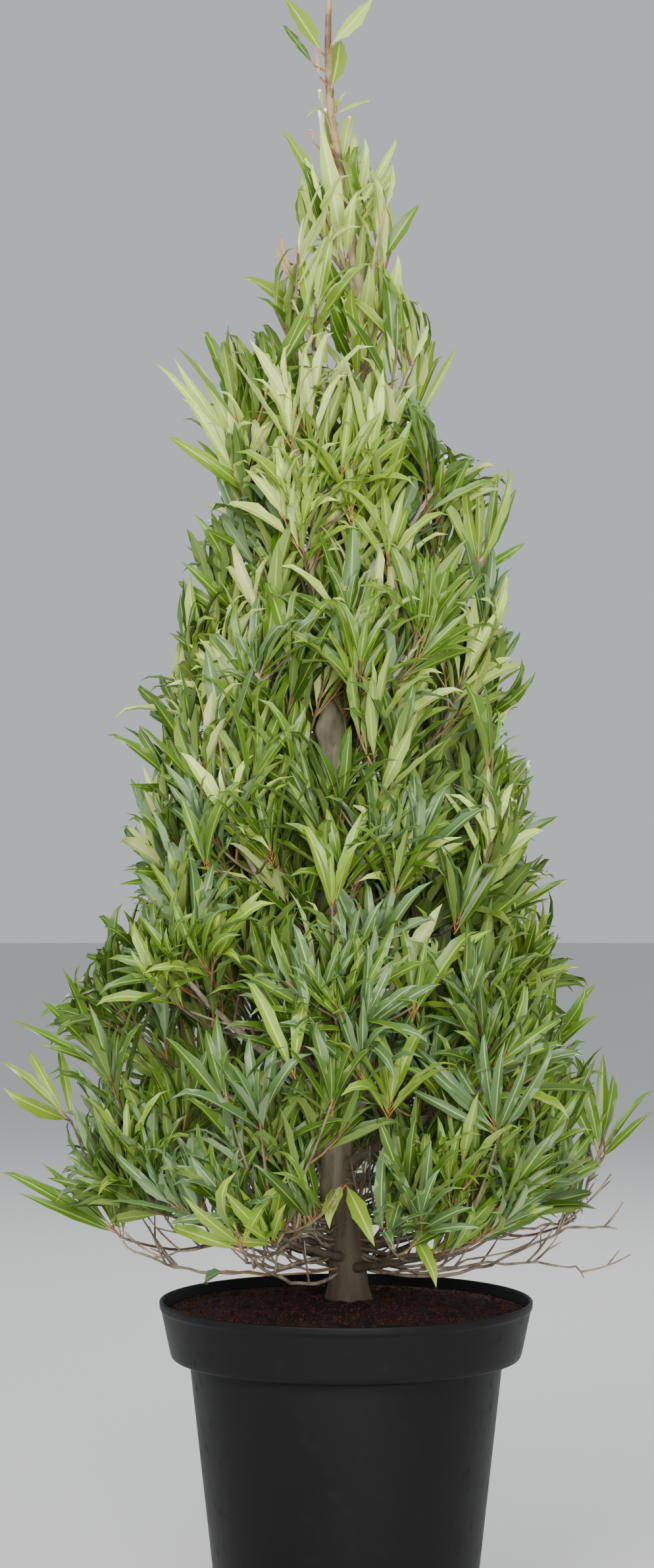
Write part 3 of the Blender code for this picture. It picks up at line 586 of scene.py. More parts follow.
# Their roots in pixels, with their greens
STAR_SPRAYS = {
    "pale_young": ((445, 690), (560, 720)),
    "yellow_green": ((587, 874), (538, 1053), (470, 800), (534, 798), (506, 1400), (449, 1640), (590, 1700)),
    "fresh_green": ((643, 986), (445, 1021), (739, 1173), (319, 1334), (597, 1374), (439, 1515), (626, 1553)),
    "mid_green": ((529, 968), (518, 1257), (600, 1180), (700, 1560), (416, 1318), (690, 1420), (505, 1700),
                  (350, 1690)),
    "blue_green": ((342, 1146), (626, 1329), (560, 1480), (300, 1560), (400, 1720), (548, 1650), (470, 1560)),
}

# Leaves: place along the leaf and width of each ring, as shares
LEAF_RINGS = (
    (0.00, 0.10),
    (0.09, 0.12),
    (0.19, 0.48),
    (0.30, 0.82),
    (0.44, 1.00),
    (0.58, 0.98),
    (0.72, 0.80),
    (0.86, 0.44),
    (1.00, 0.00),
)
LEAF_ASPECT = 0.138
LEAF_THICKNESS = 0.0036
LEAF_EDGE_WAVE = 0.09
RIB_HALF = 0.042
RIB_TAPER = (1.2, -1)
RIB_LEAST = 0.12
RIB_DEPTH = 2.0
THICKNESS_TAPER = (1.2, -0.5)
# Ripples up and down the edges start at this share of the length, and are lower on the right
RIPPLE_START = 0.1
RIPPLE_RIGHT = 0.6
CURL_POWER = 1.5
# The tip hooks back from this share of the length
HOOK_START = 0.72
HOOK_POWER = 1.3
HOOK_STRENGTH = 3
SPINE_STEPS = 4
# Leaf shapes: how far each curls back, hooks at its tip, waves, twists, folds and sweeps
LEAF_FORMS = (
    (0.35, 0.9, 0.10, 0.3, 0.35, 0.02),
    (0.55, 1.3, 0.14, -0.4, 0.45, -0.03),
    (0.15, 0.6, 0.08, 0.2, 0.30, 0.03),
    (0.75, 1.6, 0.16, 0.5, 0.40, 0.00),
    (0.25, 2.2, 0.12, -0.2, 0.50, -0.02),
    (-0.10, 0.5, 0.10, 0.4, 0.35, 0.04),
    (0.95, 1.0, 0.18, -0.6, 0.30, -0.04),
    (0.40, 1.8, 0.20, 0.1, 0.55, 0.02),
)
LEAF_SHAPES = len(LEAF_FORMS)
STRAIGHT_SHAPES = (0, 2, 5)
HOOKED_SHAPES = (1, 4, 7)
# Parts of a leaf, the part on each side of a ring, and the corners at the leaf's edges
LEAF_PARTS = ("Blade", "Underside", "Rib", "Stalk")
BLADE, UNDERSIDE, RIB, STALK = range(len(LEAF_PARTS))
LEAF_SIDES = (BLADE, RIB, BLADE, UNDERSIDE, RIB, UNDERSIDE)
OUTER_CORNERS = {0, 3}

# The greens: upper side, underside, rib and stalk of each kind of leaf, as sRGB colours
GREENS = {
    # The pale young green is also brightened to a painted highlight, for the leaves that catch the most light
    "pale_young": ((186, 212, 98), (198, 214, 128), (226, 232, 148), (214, 168, 92)),
    "yellow_green": ((128, 160, 46), (142, 166, 76), (186, 202, 92), (196, 140, 70)),
    "fresh_green": ((92, 127, 34), (120, 148, 62), (162, 184, 78), (184, 128, 62)),
    "mid_green": ((70, 101, 27), (104, 132, 56), (138, 162, 66), (172, 116, 58)),
    "deep_green": ((56, 82, 20), (86, 112, 46), (114, 140, 54), (150, 100, 52)),
    # The blue green stands mostly for a painted sheen, pale sky reflected off glossy blades
    "blue_green": ((82, 115, 61), (122, 148, 101), (154, 178, 106), (170, 120, 64)),
    "bud": ((186, 150, 116), (196, 164, 130), (204, 176, 130), (176, 120, 84)),
}
YOUNG_GREENS = ("pale_young", "yellow_green", "bud")
LEAF_ROUGHNESS = (0.38, 0.62, 0.5, 0.5)
LEAVES_PER_PIECE = 1900
# The chance of each green at the foot of the crown and above the young height
# Paler greens at the top are partly young leaves, partly painted light; darker greens below, partly painted
# shade
YOUNG_HEIGHT = 1.46
YOUNG_POWER = 1.5
GREEN_CHANCES = {
    "pale_young": (-0.12, 0.72),
    "yellow_green": (0.10, 0.36),
    "fresh_green": (0.28, 0.14),
    "mid_green": (0.28, 0.07),
    "deep_green": (0.10, 0.02),
    "blue_green": (0.24, 0.05),
}

# Colours of the bark and skins, and the heights where the trunk's change
# Painted shade: below these heights the trunk's bark darkens to this colour, as shade under the crown
FOOT_SHADE_HEIGHTS = (0.30, 0.80)
FOOT_SHADE_SHARE = 0.96
FOOT_SHADE_COLOUR = (52, 38, 27)
YOUNG_BARK = (1.30, 1.60)
LEADER_COLOURS = ((106, 80, 58), (172, 150, 108))
SHOOT_COLOURS = ((150, 108, 62), (158, 146, 84))
# Lumps per metre on limbs and twigs
LUMP_SCALE = 130.0
# Skins of the twigs: sides, step between rings and height of the lumps
SKINS = {
    "limbs": (10, 0.0045, 0.0034),
    "leader": (10, 0.0060, 0.0010),
    "old_twigs": (6, 0.0160, 0.0010),
    "bare_twigs": (6, 0.0090, 0.0016),
    "young_shoots": (5, 0.0160, 0.0004),
}


def along(pairs, height):
    """The value at a height, on straight lines between the pairs of height and value."""
    below = pairs[0]
    for above in pairs[1:]:
        if height <= above[0]:
            share = (height - below[0]) / (above[0] - below[0])
            return blend(below[1], above[1], max(share, 0))
        below = above
    return below[1]


def blend(first, second, share):
    return first + (second - first) * share


def up(height):
    return Vector((0, 0, height))


def on_circle(radius, angle, height):
    return radius * math.cos(angle), radius * math.sin(angle), height


def smooth_bend(height):
    """Centre and radius of the trunk at a height, on a smooth curve through its bends."""
    height = min(max(height, TRUNK_FOOT), TRUNK_TIP)
    last = len(TRUNK_BENDS) - 1
    index = next(i for i in range(last) if height <= TRUNK_BENDS[i + 1][0])
    four = [TRUNK_BENDS[min(max(index + step, 0), last)] for step in (-1, 0, 1, 2)]
    start, end = four[1], four[2]
    share = (height - start[0]) / (end[0] - start[0])
    square, cube = share**2, share**3
    values = []
    for axis in (1, 2, 3):
        slope_in = (end[axis] - four[0][axis]) / (end[0] - four[0][0]) * (end[0] - start[0])
        slope_out = (four[3][axis] - start[axis]) / (four[3][0] - start[0]) * (end[0] - start[0])
        values.append(
            (2 * cube - 3 * square + 1) * start[axis]
            + (cube - 2 * square + share) * slope_in
            + (3 * square - 2 * cube) * end[axis]
            + (cube - square) * slope_out
        )
    return Vector((values[0], values[1], height)), values[2]


def reach(point, left=REACH_LEFT, right=REACH_RIGHT):
    """How far the crown reaches at a point's height and in its direction from the axis."""
    flat = math.hypot(point.x, point.y)
    right_share = 0.5 + 0.5 * point.x / flat if flat > 0 else 0.5
    return blend(along(left, point.z), along(right, point.z), right_share)


def past_reach(point):
    return math.hypot(point.x, point.y) > reach(point)


def in_crown(point, share=1.0):
    """True inside the leaves' outline at the sides, and inside the whole reach in depth."""
    flat = math.hypot(point.x, point.y)
    depth_share = (point.y / flat) ** DEPTH_POWER if flat > 0 else 0
    limit = blend(reach(point, LEAVES_LEFT, LEAVES_RIGHT), reach(point), depth_share)
    return point.z <= TOTAL_HEIGHT and flat <= limit * share


class Space:
    """The part of the crown that one mass keeps to: one tier of one column."""

    def __init__(self, part, tier, column):
        under, over = CROWN_PARTS[part], CROWN_PARTS[part + 1]
        _, _, tiers, columns, first_angle = under
        shift = (column * STAGGER_STEP % 1 - 0.5) * STAGGER_DEPTH
        start = (tier + shift) / tiers if tier > 0 else 0
        end = (tier + 1 + shift) / tiers if tier + 1 < tiers else 1
        self.low = [blend(under[i], over[i], start) for i in (0, 1)]
        self.high = [blend(under[i], over[i], end) for i in (0, 1)]
        self.turn = math.radians(first_angle) + math.tau * column / columns
        self.half = math.pi / columns

    def place(self, radius, share, turn=0.0):
        """The point at a radius from the trunk, at a share of the way up the space."""
        floor = self.low[0] + self.low[1] * radius
        ceiling = self.high[0] + self.high[1] * radius
        height = blend(floor, ceiling, share)
        angle = self.turn + COLUMN_TWIST * height + turn
        centre = smooth_bend(height)[0]
        x = centre.x + radius * math.cos(angle)
        y = centre.y + radius * math.sin(angle)
        return Vector((x, y, height))


def limb_path(space, rng):
    """The line of one limb, from the trunk's axis to near the crown's outside."""
    sway = rng.uniform(-LIMB_SWAY, LIMB_SWAY) * space.half
    tip = STEM_REACH * reach(space.place(STEM_FIRST_GUESS, STEM_HIGH_SHARE))
    tip = STEM_REACH * reach(space.place(tip, STEM_HIGH_SHARE))
    path = []
    for step in range(LIMB_STEPS + 1):
        share = step / LIMB_STEPS
        level = STEM_LOW_SHARE + (STEM_HIGH_SHARE - STEM_LOW_SHARE) * share
        path.append(space.place(share * tip, level, sway * math.sin(math.pi * share)))
    return path


def spot(across, down, depth=0.0):
    """The place at a depth that shows at a pixel of the picture."""
    scale = PIXEL * (depth / -CAMERA_PLACE.y + 1)
    x = CAMERA_PLACE.x + (across - PICTURE_WIDTH / 2) * scale
    return Vector((x, depth, CAMERA_PLACE.z - (down - PICTURE_HEIGHT / 2) * scale))


def pixel(point):
    """The pixel of the picture that shows a point."""
    scale = PIXEL * (point.y / -CAMERA_PLACE.y + 1)
    across = (point.x - CAMERA_PLACE.x) / scale + PICTURE_WIDTH / 2
    return across, PICTURE_HEIGHT / 2 - (point.z - CAMERA_PLACE.z) / scale


def turned(axis, angle):
    """A direction at right angles to an axis, turned about it, from straight up."""
    side = axis.cross(Vector((0, 0, 1)))
    side = side.normalized() if side.length > LEAST_SIDE else Vector((1, 0, 0))
    return Matrix.Rotation(angle, 3, axis) @ side.cross(axis).normalized()


def point_on(path, share):
    """The point at a share of the way along a path."""
    place = share * (len(path) - 1)
    index = min(int(place), len(path) - 2)
    return path[index].lerp(path[index + 1], place - index)


def direction_on(path, share):
    """The way that a path runs at a share of its length."""
    index = min(int(share * (len(path) - 1)), len(path) - 2)
    return (path[index + 1] - path[index]).normalized()


def arch(start, end, lift, steps=6):
    """A path from start to end that leaves outwards and turns up, by a lift, on its way."""
    middle = start.lerp(end, ARCH_MIDDLE) - up(lift)
    path = []
    for step in range(steps + 1):
        t = step / steps
        path.append(start * (1 - t) ** 2 + middle * 2 * t * (1 - t) + end * t**2)
    return path


def smooth_path(path, steps=4):
    """A path through the same points, with its kinks rounded."""
    points = [path[0] * 2 - path[1]] + list(path) + [path[-1] * 2 - path[-2]]
    result = []
    for a, b, c, d in zip(points, points[1:], points[2:], points[3:]):
        for step in range(steps):
            t = step / steps
            curve = (3 * b - a - 3 * c + d) * t**3 + (2 * a - 5 * b + 4 * c - d) * t**2
            result.append(0.5 * (curve + (c - a) * t + 2 * b))
    return result + [path[-1]]


Leaf = namedtuple("Leaf", "root turn length width shape mass")


class Plant:
    """Everything that grows: twigs as paths with radii, and leaves by their green."""

    def __init__(self):
        self.twigs = {}
        self.leaves = {}
        self.anchors = []

    def twig(self, kind, path, radii, collar=0.0):
        """A twig with radii at both ends, thicker by the collar's share over its root."""
        count = len(path) - 1
        taper = []
        for i in range(count + 1):
            swell = 1 + collar * max(1 - (path[i] - path[0]).length / COLLAR_LENGTH, 0)
            taper.append(blend(radii[0], radii[1], i / count) * swell)
        self.twigs.setdefault(kind, []).append((path, taper))

    def leaf(self, green, mass, root, direction, face, length, width, shape):
        """A leaf from its root. The width is a share of the shape's own."""
        turn = Matrix((direction.cross(face) * -1, face, direction)).transposed()
        leaf = Leaf(root, turn.to_euler(), length, width, shape, mass)
        self.leaves.setdefault(green, []).append(leaf)

    def leaf_to(self, green, mass, root, tip, face, width, shape):
        """A leaf whose root and tip are known, with its width in metres."""
        back, ahead = LEAF_BENDS[shape]
        chord = tip - root
        size = chord.length / math.hypot(back, ahead)
        chord.normalize()
        face = (face - chord * face.dot(chord)).normalized()
        bend = math.atan2(back, ahead)
        direction = chord * math.cos(bend) + face * math.sin(bend)
        face = face * math.cos(bend) - chord * math.sin(bend)
        self.leaf(green, mass, root, direction, face, size, width / (LEAF_ASPECT * size), shape)

    def anchor(self, point):
        """The nearest place on a limb, from below rather than above, and its mass."""
        below = [known for known in self.anchors if known[0].z < point.z - ANCHOR_DROP]
        return min(below or self.anchors, key=lambda known: (known[0] - point).length)


def free(point):
    """True if a point is in the crown, over the bare twigs and clear of the trunk."""
    flat = math.hypot(point.x, point.y)
    if point.z < along(LOWEST_LEAF, flat) or not in_crown(point):
        return False
    centre, radius = smooth_bend(point.z)
    return math.hypot(point.x - centre.x, point.y - centre.y) > radius + TRUNK_CLEARANCE


def in_opening(point):
    """True where the picture shows an opening, as far back as it goes."""
    across, down = pixel(point)
    for middle, height, half, tall, depth in OPENINGS:
        if point.y < depth and math.hypot((across - middle) / half, (down - height) / tall) < 1:
            return True
    return False


def grow_leaf(plant, green, mass, root, axis, angle, spread, rise, length, width, rng):
    """One leaf on a shoot, turned and shortened until it fits."""
    for attempt in range(LEAF_TRIES):
        out = turned(axis, angle + LEAF_TRY_TURN * attempt)
        lean = spread + LEAF_TRY_SPREAD * attempt
        direction = (axis + out * lean + up(rise * LEAF_RISE_SHARE)).normalized()
        size = length * (1 - LEAF_TRY_SHRINK * attempt)
        shape = rng.randrange(LEAF_SHAPES)
        back, ahead = LEAF_BENDS[shape]
        face = axis - direction * axis.dot(direction)
        if face.length < LEAST_FACE:
            face = -out + direction * out.dot(direction)
        face.normalize()
        tip = root + (direction * ahead - face * back) * size
        middle = root.lerp(tip, LEAF_MIDDLE)
        if mass != "foliage_top" and tip.z > LEAF_CEILING:
            continue
        if free(tip) and free(middle) and not in_opening(tip) and not in_opening(middle):
            plant.leaf(green, mass, root, direction, face, size, width, shape)
            return


def straight(line, place):
    """The value of a straight line, stated by its start and slope."""
    return line[0] + line[1] * place


def grow_spray(plant, mass, path, count, length, rise, rng, green=None):
    """Leaves in a spiral down from the tip of a shoot: short and upright, then long and open."""
    green = green or pick_green(path[-1].z, rng)
    whole = sum((b - a).length for a, b in zip(path, path[1:]))
    leafy_share = min(LEAFY_LENGTH / whole, 1)
    first = rng.uniform(0, math.tau)
    for index in range(count):
        down = index / (count - 1)
        share = 1 - leafy_share * down**LEAFY_POWER
        spread = blend(*SPREADS, down**SPREAD_POWER) * rng.uniform(*SPREAD_JITTER)
        size = length * min(straight(YOUNG_LEAVES, down), 1.0, straight(OLD_LEAVES, down))
        size *= rng.uniform(*LEAF_LENGTH_JITTER)
        width = rng.uniform(*LEAF_WIDTH_JITTER)
        axis = direction_on(path, max(share - JUST_BELOW, 0))
        angle = first + GOLDEN_TURN * index
        grow_leaf(plant, green, mass, point_on(path, share), axis, angle, spread, rise, size, width, rng)


def room_ahead(start, direction, longest):
    """How far a twig can run before its leaves would leave the crown."""
    length = 0.0
    while length < longest and in_crown(start + direction * (length + ROOM_STEP), ROOM_SHARE):
        length += ROOM_STEP
    return length


def pick_green(height, rng):
    """The green of one spray, by its height in the crown and a throw of the dice."""
    level = min(max((height - CROWN_FOOT) / (YOUNG_HEIGHT - CROWN_FOOT), 0), 1) ** YOUNG_POWER
    chances = [max(blend(low, high, level), 0) for low, high in GREEN_CHANCES.values()]
    return rng.choices(list(GREEN_CHANCES), chances)[0]


class Habit:
    """How all that grows from one stem looks, by the stem's level and height."""

    def __init__(self, mass, level, top):
        height = min((top - CROWN_FOOT) / (TOP_CONE_FOOT - CROWN_FOOT), 1)
        self.mass = mass
        self.bushy = level <= BUSHY_LEVELS
        self.rise = blend(*LEAF_RISE, height**LEAF_RISE_POWER)
        self.lift = up(blend(*TWIG_RISE, height))
        self.length = blend(*LEAF_LENGTHS, height)
        self.leaves = LEAVES_PER_SPRAY[level - 1]

    def spray(self, plant, path, rng, fewer=0, share=1):
        """A spray at the end of a path, with fewer and shorter leaves on a fine twig."""
        grow_spray(plant, self.mass, path, self.leaves - fewer, self.length * share, self.rise, rng)


def side_way(habit, start, axis, angle):
    """The first way off a stem with room for a twig, and that room, or None."""
    for attempt in range(TWIG_TRIES):
        out = turned(axis, angle + TWIG_TRY_TURN * attempt)
        way = (axis * TWIG_LEAN + out + habit.lift).normalized()
        room = room_ahead(start, way, TWIG_LONGEST)
        end = start + way * room
        if room > TWIG_SHORTEST and end.z < TWIG_CEILING and free(end):
            return way, room
    return None


def grow_fine_twig(plant, habit, start, axis, angle, rng):
    """A shoot off a side twig, where there is room for it."""
    way = (axis * FINE_TWIG_LEAN + turned(axis, angle) + habit.lift).normalized()
    room = room_ahead(start, way, FINE_TWIG_LONGEST)
    end = start + way * room
    if room < TWIG_SHORTEST or end.z > TWIG_CEILING or not free(end):
        return
    end = start + way * room * rng.uniform(*FINE_TWIG_JITTER)
    shoot = arch(start, end, room * FINE_TWIG_ARCH, steps=4)
    plant.twig("young_shoots", shoot, SHOOT_RADII)
    habit.spray(plant, shoot, rng, FINE_TWIG_FEWER_LEAVES, FINE_TWIG_LEAF_SHARE)


def grow_stem(plant, name, level, stem, rng):
    """Side twigs by turns round a stem, each with finer twigs, all ending in sprays."""
    habit = Habit(name, level, stem[-1].z)
    habit.spray(plant, stem, rng)
    first = rng.uniform(0, math.tau)
    count = SIDE_TWIGS[level - 1]
    for index in range(count):
        share = blend(*TWIG_SHARES, index / (count - 1))
        start = point_on(stem, share)
        angle = first + GOLDEN_TURN * index
        found = side_way(habit, start, direction_on(stem, share), angle)
        if not found:
            continue
        way, room = found
        run = room * rng.uniform(*TWIG_LENGTH_JITTER)
        twig = arch(start, start + way * run, run * TWIG_ARCH)
        plant.twig("old_twigs", twig, TWIG_RADII)
        habit.spray(plant, twig, rng)
        for order, fine_share in enumerate(FINE_TWIG_SHARES, 1):
            if habit.bushy and run >= FINE_TWIG_LEAST_HOST * order:
                turn = angle + FINE_TWIG_TURN * order
                grow_fine_twig(plant, habit, point_on(twig, fine_share), way, turn, rng)


def place_leaf(plant, green, mass, root, across, down, width, rng, shapes, sides=(-1, 1)):
    """A leaf with its tip at a pixel, leaning to or from the viewer if it would be short."""
    flat = (spot(across, down, root.y) - root).length
    usual = flat if green == "bud" else rng.uniform(*PLACED_LENGTHS)
    lean = max(math.sqrt(max(usual**2 - flat**2, 0)), LEAST_LEAN) * rng.choice(sides)
    tip = spot(across, down, root.y + lean)
    if past_reach(tip):
        tip = spot(across, down, root.y - lean)
    for _ in range(PLACED_TRIES):
        if past_reach(tip):
            tip = spot(across, down, blend(tip.y, root.y, PLACED_RETREAT))
    face = Vector((rng.uniform(-PLACED_TILT, PLACED_TILT), -1, rng.uniform(0.0, PLACED_TILT)))
    plant.leaf_to(green, mass, root, tip, face, width * PIXEL * PLACED_WIDTH, rng.choice(shapes))


def place_single_leaf(plant, green, root, across, down, width, rng):
    """A leaf by itself, on a short shoot where it starts away from what carries it."""
    start, mass = plant.anchor(root)
    if (start - root).length > LEAF_SEAT:
        shoot = arch(start, root, SHOOT_ARCH * (start - root).length, steps=4)
        plant.twig("young_shoots", shoot, SHOOT_RADII)
    else:
        root = root.lerp(start, 0.5)
    if width < WIDE_LEAF:
        place_leaf(plant, green, mass, root, across, down, width, rng, HOOKED_SHAPES)
    else:
        place_leaf(plant, green, mass, root, across, down, width, rng, STRAIGHT_SHAPES, (-1,))


def place_spray(plant, green, depth, root, tips, rng):
    """A spray at a pixel, on a twig from the nearest limb, with each tip at its own pixel."""
    base = spot(*root, depth)
    start, mass = plant.anchor(base)
    middle = sum((spot(tip[0], tip[1], depth) for tip in tips), Vector()) / len(tips)
    ahead = (middle - base).normalized()
    sag = start.lerp(base, 0.5) - up(SPRAY_SAG * (base - start).length)
    twig = smooth_path([start, sag, base, base + ahead * SPRAY_STEM])
    plant.twig("old_twigs", twig, TWIG_RADII)
    order = sorted(tips, key=lambda tip: (spot(tip[0], tip[1], depth) - base).normalized().dot(ahead))
    for index, (across, down, width) in enumerate(order):
        place = base + ahead * SPRAY_STEM * index / len(tips)
        place_leaf(plant, green, mass, place, across, down, width, rng, range(LEAF_SHAPES))


def star_spray(plant, green, root, rng):
    """A spray on the crown's near side that opens up and towards the viewer."""
    side = spot(*root)
    near = reach(side)
    depth = -STAR_DEPTH * math.sqrt(max(near**2 - side.x**2, STAR_LEAST_DEPTH**2))
    base = spot(*root, depth)
    start, mass = plant.anchor(base)
    ahead = Vector((base.x * STAR_LEAN[0], near * STAR_LEAN[1], STAR_LEAN[2])).normalized()
    twig = arch(start, base + ahead * STAR_STEM, STAR_ARCH * (base - start).length)
    plant.twig("old_twigs", twig, TWIG_RADII)
    first = rng.uniform(0, math.tau)
    for index in range(STAR_LEAVES):
        down = index / (STAR_LEAVES - 1)
        out = turned(ahead, first + GOLDEN_TURN * index)
        direction = (ahead + out * blend(*STAR_SPREADS, down) + up(STAR_RISE)).normalized()
        shape = rng.randrange(LEAF_SHAPES)
        face = (ahead - direction * ahead.dot(direction)).normalized()
        length = STAR_LEAF * min(straight(STAR_YOUNG_LEAVES, down), 1.0)
        length *= rng.uniform(*STAR_LENGTH_JITTER)
        place = base + ahead * STAR_STEM * (1 - down)
        tip = place + direction * length
        if math.hypot(tip.x, tip.y) < reach(tip) + STAR_MARGIN:
            width = rng.uniform(*STAR_WIDTH_JITTER)
            plant.leaf(green, mass, place, direction, face, length, width, shape)


def kinked(path, rng):
    """The path of a dry twig, with small kinks at its points."""
    bent = [path[0]]
    for point in path[1:]:
        kink = Vector([rng.uniform(-BARE_TWIG_KINK, BARE_TWIG_KINK) for _ in range(3)])
        bent.append(point + kink)
        bent[-1].z = max(bent[-1].z, LOWEST_TWIG)
    return bent


def grow_bare_twigs(plant, rng):
    """Dead and pruned twigs round the foot of the crown, forked and turned up at their ends."""
    for index in range(BARE_TWIGS):
        angle = (GOLDEN_TURN * index) % math.tau
        if abs(angle - VIEWER_TURN) < TRUNK_VIEW:
            continue
        height = rng.uniform(*BARE_TWIG_HEIGHTS)
        centre = smooth_bend(height)[0]
        far = rng.uniform(*BARE_TWIG_REACHES)
        climb = rng.uniform(*BARE_TWIG_CLIMB)
        sag = rng.uniform(0.0, BARE_TWIG_SAG)
        path = []
        for step in range(BARE_TWIG_STEPS + 1):
            share = step / BARE_TWIG_STEPS
            turn = angle + rng.uniform(-BARE_TWIG_TURN, BARE_TWIG_TURN)
            z = height - sag * math.sin(math.pi * share) + climb * share**BARE_TWIG_CLIMB_POWER
            z += rng.uniform(-BARE_TWIG_BUMP, BARE_TWIG_BUMP)
            out = Vector((math.cos(turn), math.sin(turn), 0)) * far * share
            path.append(Vector((centre.x, centre.y, max(z, LOWEST_TWIG))) + out)
        path = kinked(smooth_path(path, steps=2), rng)
        plant.twig("bare_twigs", path, BARE_TWIG_RADII)
        fork_twig(plant, path, rng.randrange(*FORKS), rng)


def place_bare_twigs(plant, rng):
    """The bare twigs that the picture shows, with forks of their own."""
    for far, thick, thin, *pixels in PLACED_TWIGS:
        last = len(pixels) - 1
        path = [spot(*place, far * (i / last)) for i, place in enumerate(pixels)]
        path = kinked(smooth_path(path, steps=3), rng)
        plant.twig("bare_twigs", path, (thick / 1000, thin / 1000))
        fork_twig(plant, path, PLACED_TWIG_FORKS, rng)


def fork_twig(plant, path, count, rng):
    """Small twigs off a bare one, turned up, some of them forked again."""
    for _ in range(count):
        share = rng.uniform(*FORK_SHARES)
        start, ahead = point_on(path, share), direction_on(path, share)
        run = rng.uniform(*FORK_LENGTHS)
        out = turned(ahead, rng.uniform(-FORK_TURN, FORK_TURN))
        way = (ahead + out * FORK_SPREAD + up(FORK_RISE)).normalized()
        fork = arch(start, start + way * run, run * FORK_ARCH, steps=4)
        if fork[-1].z < LOWEST_TWIG:
            continue
        plant.twig("bare_twigs", fork, FORK_RADII)
        out = turned(way, rng.uniform(0, math.tau))
        middle = fork[len(fork) // 2]
        tip = middle + (way + out * SMALL_FORK_SPREAD).normalized() * run * SMALL_FORK_SHARE
        if rng.random() < SMALL_FORK_CHANCE and tip.z > LOWEST_TWIG:
            plant.twig("bare_twigs", [middle, middle.lerp(tip, 0.5), tip], SMALL_FORK_RADII)


def grow_limbs(plant):
    """The limbs in their tiers and columns, and then the twigs on the stem that each runs on in."""
    stems = []
    level = 0
    for part, (_, _, tiers, columns, _) in enumerate(CROWN_PARTS):
        for tier in range(tiers):
            level += 1
            for column in range(columns):
                rng = random.Random(SEED + LEVEL_SEEDS * level + column)
                path = smooth_path(limb_path(Space(part, tier, column), rng))
                name = f"foliage_{level}_{column + 1}"
                while path[-1].z > TWIG_CEILING or not in_crown(path[-1], LIMB_END):
                    path.pop()
                thick = LIMB_ROOT_RADII[level - 1]
                plant.twig("limbs", path, (thick, thick * LIMB_TIP_SHARE), COLLAR)
                stem = path[round(BARE_SHARES[level - 1] * (len(path) - 1)) :]
                stems.append((name, level, stem, rng))
                plant.anchors += [(point, name) for point in stem]
    for name, level, path, rng in stems:
        grow_stem(plant, name, level, path, rng)


def grow_leader(plant, rng):
    """The young tip over the trunk, with the spray that it ends in."""
    tip = smooth_bend(TRUNK_TIP)[0]
    leader = smooth_path([tip] + [spot(*place) for place in LEADER_PIXELS])
    plant.twig("leader", leader, (TRUNK_TIP_RADIUS, LEADER_TIP_RADIUS))
    for step in range(LEADER_ANCHORS + 1):
        height = blend(LEADER_FOOT, TRUNK_TIP, step / LEADER_ANCHORS)
        plant.anchors.append((smooth_bend(height)[0], "foliage_top"))
    plant.anchors += [(point, "foliage_top") for point in leader]
    grow_spray(plant, "foliage_top", leader[-TIP_SPRAY_POINTS:], *TIP_SPRAY, rng, "pale_young")


def leader_side_leaf(plant, height, rng):
    """A leaf of the leader that points to or from the viewer."""
    side = rng.choice((-1, 1)) * math.pi / 2 + rng.uniform(-LEADER_SIDE_TURN, LEADER_SIDE_TURN)
    root = smooth_bend(height)[0]
    out = Vector((math.cos(side), math.sin(side), 0))
    direction = (out * rng.uniform(*LEADER_SIDE_SPREADS) + up(1)).normalized()
    face = (up(1) - direction * direction.z).normalized()
    green = rng.choice(LEADER_SIDE_GREENS)
    length = rng.uniform(*LEADER_SIDE_LENGTHS)
    plant.leaf(green, "foliage_top", root, direction, face, length, 1.0, rng.randrange(LEAF_SHAPES))


def grow_plant():
    """The whole plant. The order of its parts settles what chance deals to each."""
    plant = Plant()
    grow_limbs(plant)
    rng = random.Random(SEED)
    grow_leader(plant, rng)
    for depth, rows in ((LEADER_DEPTH, LEADER_LEAVES), (HANGING_DEPTH, HANGING_LEAVES)):
        for green, *leaves in rows:
            for x, y, across, down, width in leaves:
                place_single_leaf(plant, green, spot(x, y, depth), across, down, width, rng)
    for index in range(LEADER_SIDE_LEAVES):
        height = blend(*LEADER_SIDE_HEIGHTS, index / (LEADER_SIDE_LEAVES - 1))
        leader_side_leaf(plant, height, rng)
    for green, depth, root, *tips in PLACED_SPRAYS:
        place_spray(plant, green, depth, root, tips, rng)
    for green, roots in STAR_SPRAYS.items():
        for root in roots:
            star_spray(plant, green, root, rng)
    grow_bare_twigs(plant, rng)
    place_bare_twigs(plant, rng)
    return plant


def bend_at(curl, hook, share):
    """How far a leaf has turned back at a share of its length."""
    hooked = max(share - HOOK_START, 0) ** HOOK_POWER * HOOK_STRENGTH
    return curl * share**CURL_POWER + hook * hooked


def leaf_spine(curl, hook):
    """Points and angles down the middle of a leaf of unit length, as it curls back."""
    y = z = 0.0
    spine = []
    last = 0.0
    for share, _ in LEAF_RINGS:
        for step in range(SPINE_STEPS):
            angle = bend_at(curl, hook, last + (share - last) * (step + 0.5) / SPINE_STEPS)
            y -= math.sin(angle) * (share - last) / SPINE_STEPS
            z += math.cos(angle) * (share - last) / SPINE_STEPS
        last = share
        spine.append((y, z, bend_at(curl, hook, share)))
    return spine


def leaf_bend(form):
    """How far back and how far ahead of its root the tip of a leaf of unit length lies."""
    curl, hook, *_ = form
    y, z, _ = leaf_spine(curl, hook)[-1]
    return -y, z


LEAF_BENDS = [leaf_bend(form) for form in LEAF_FORMS]


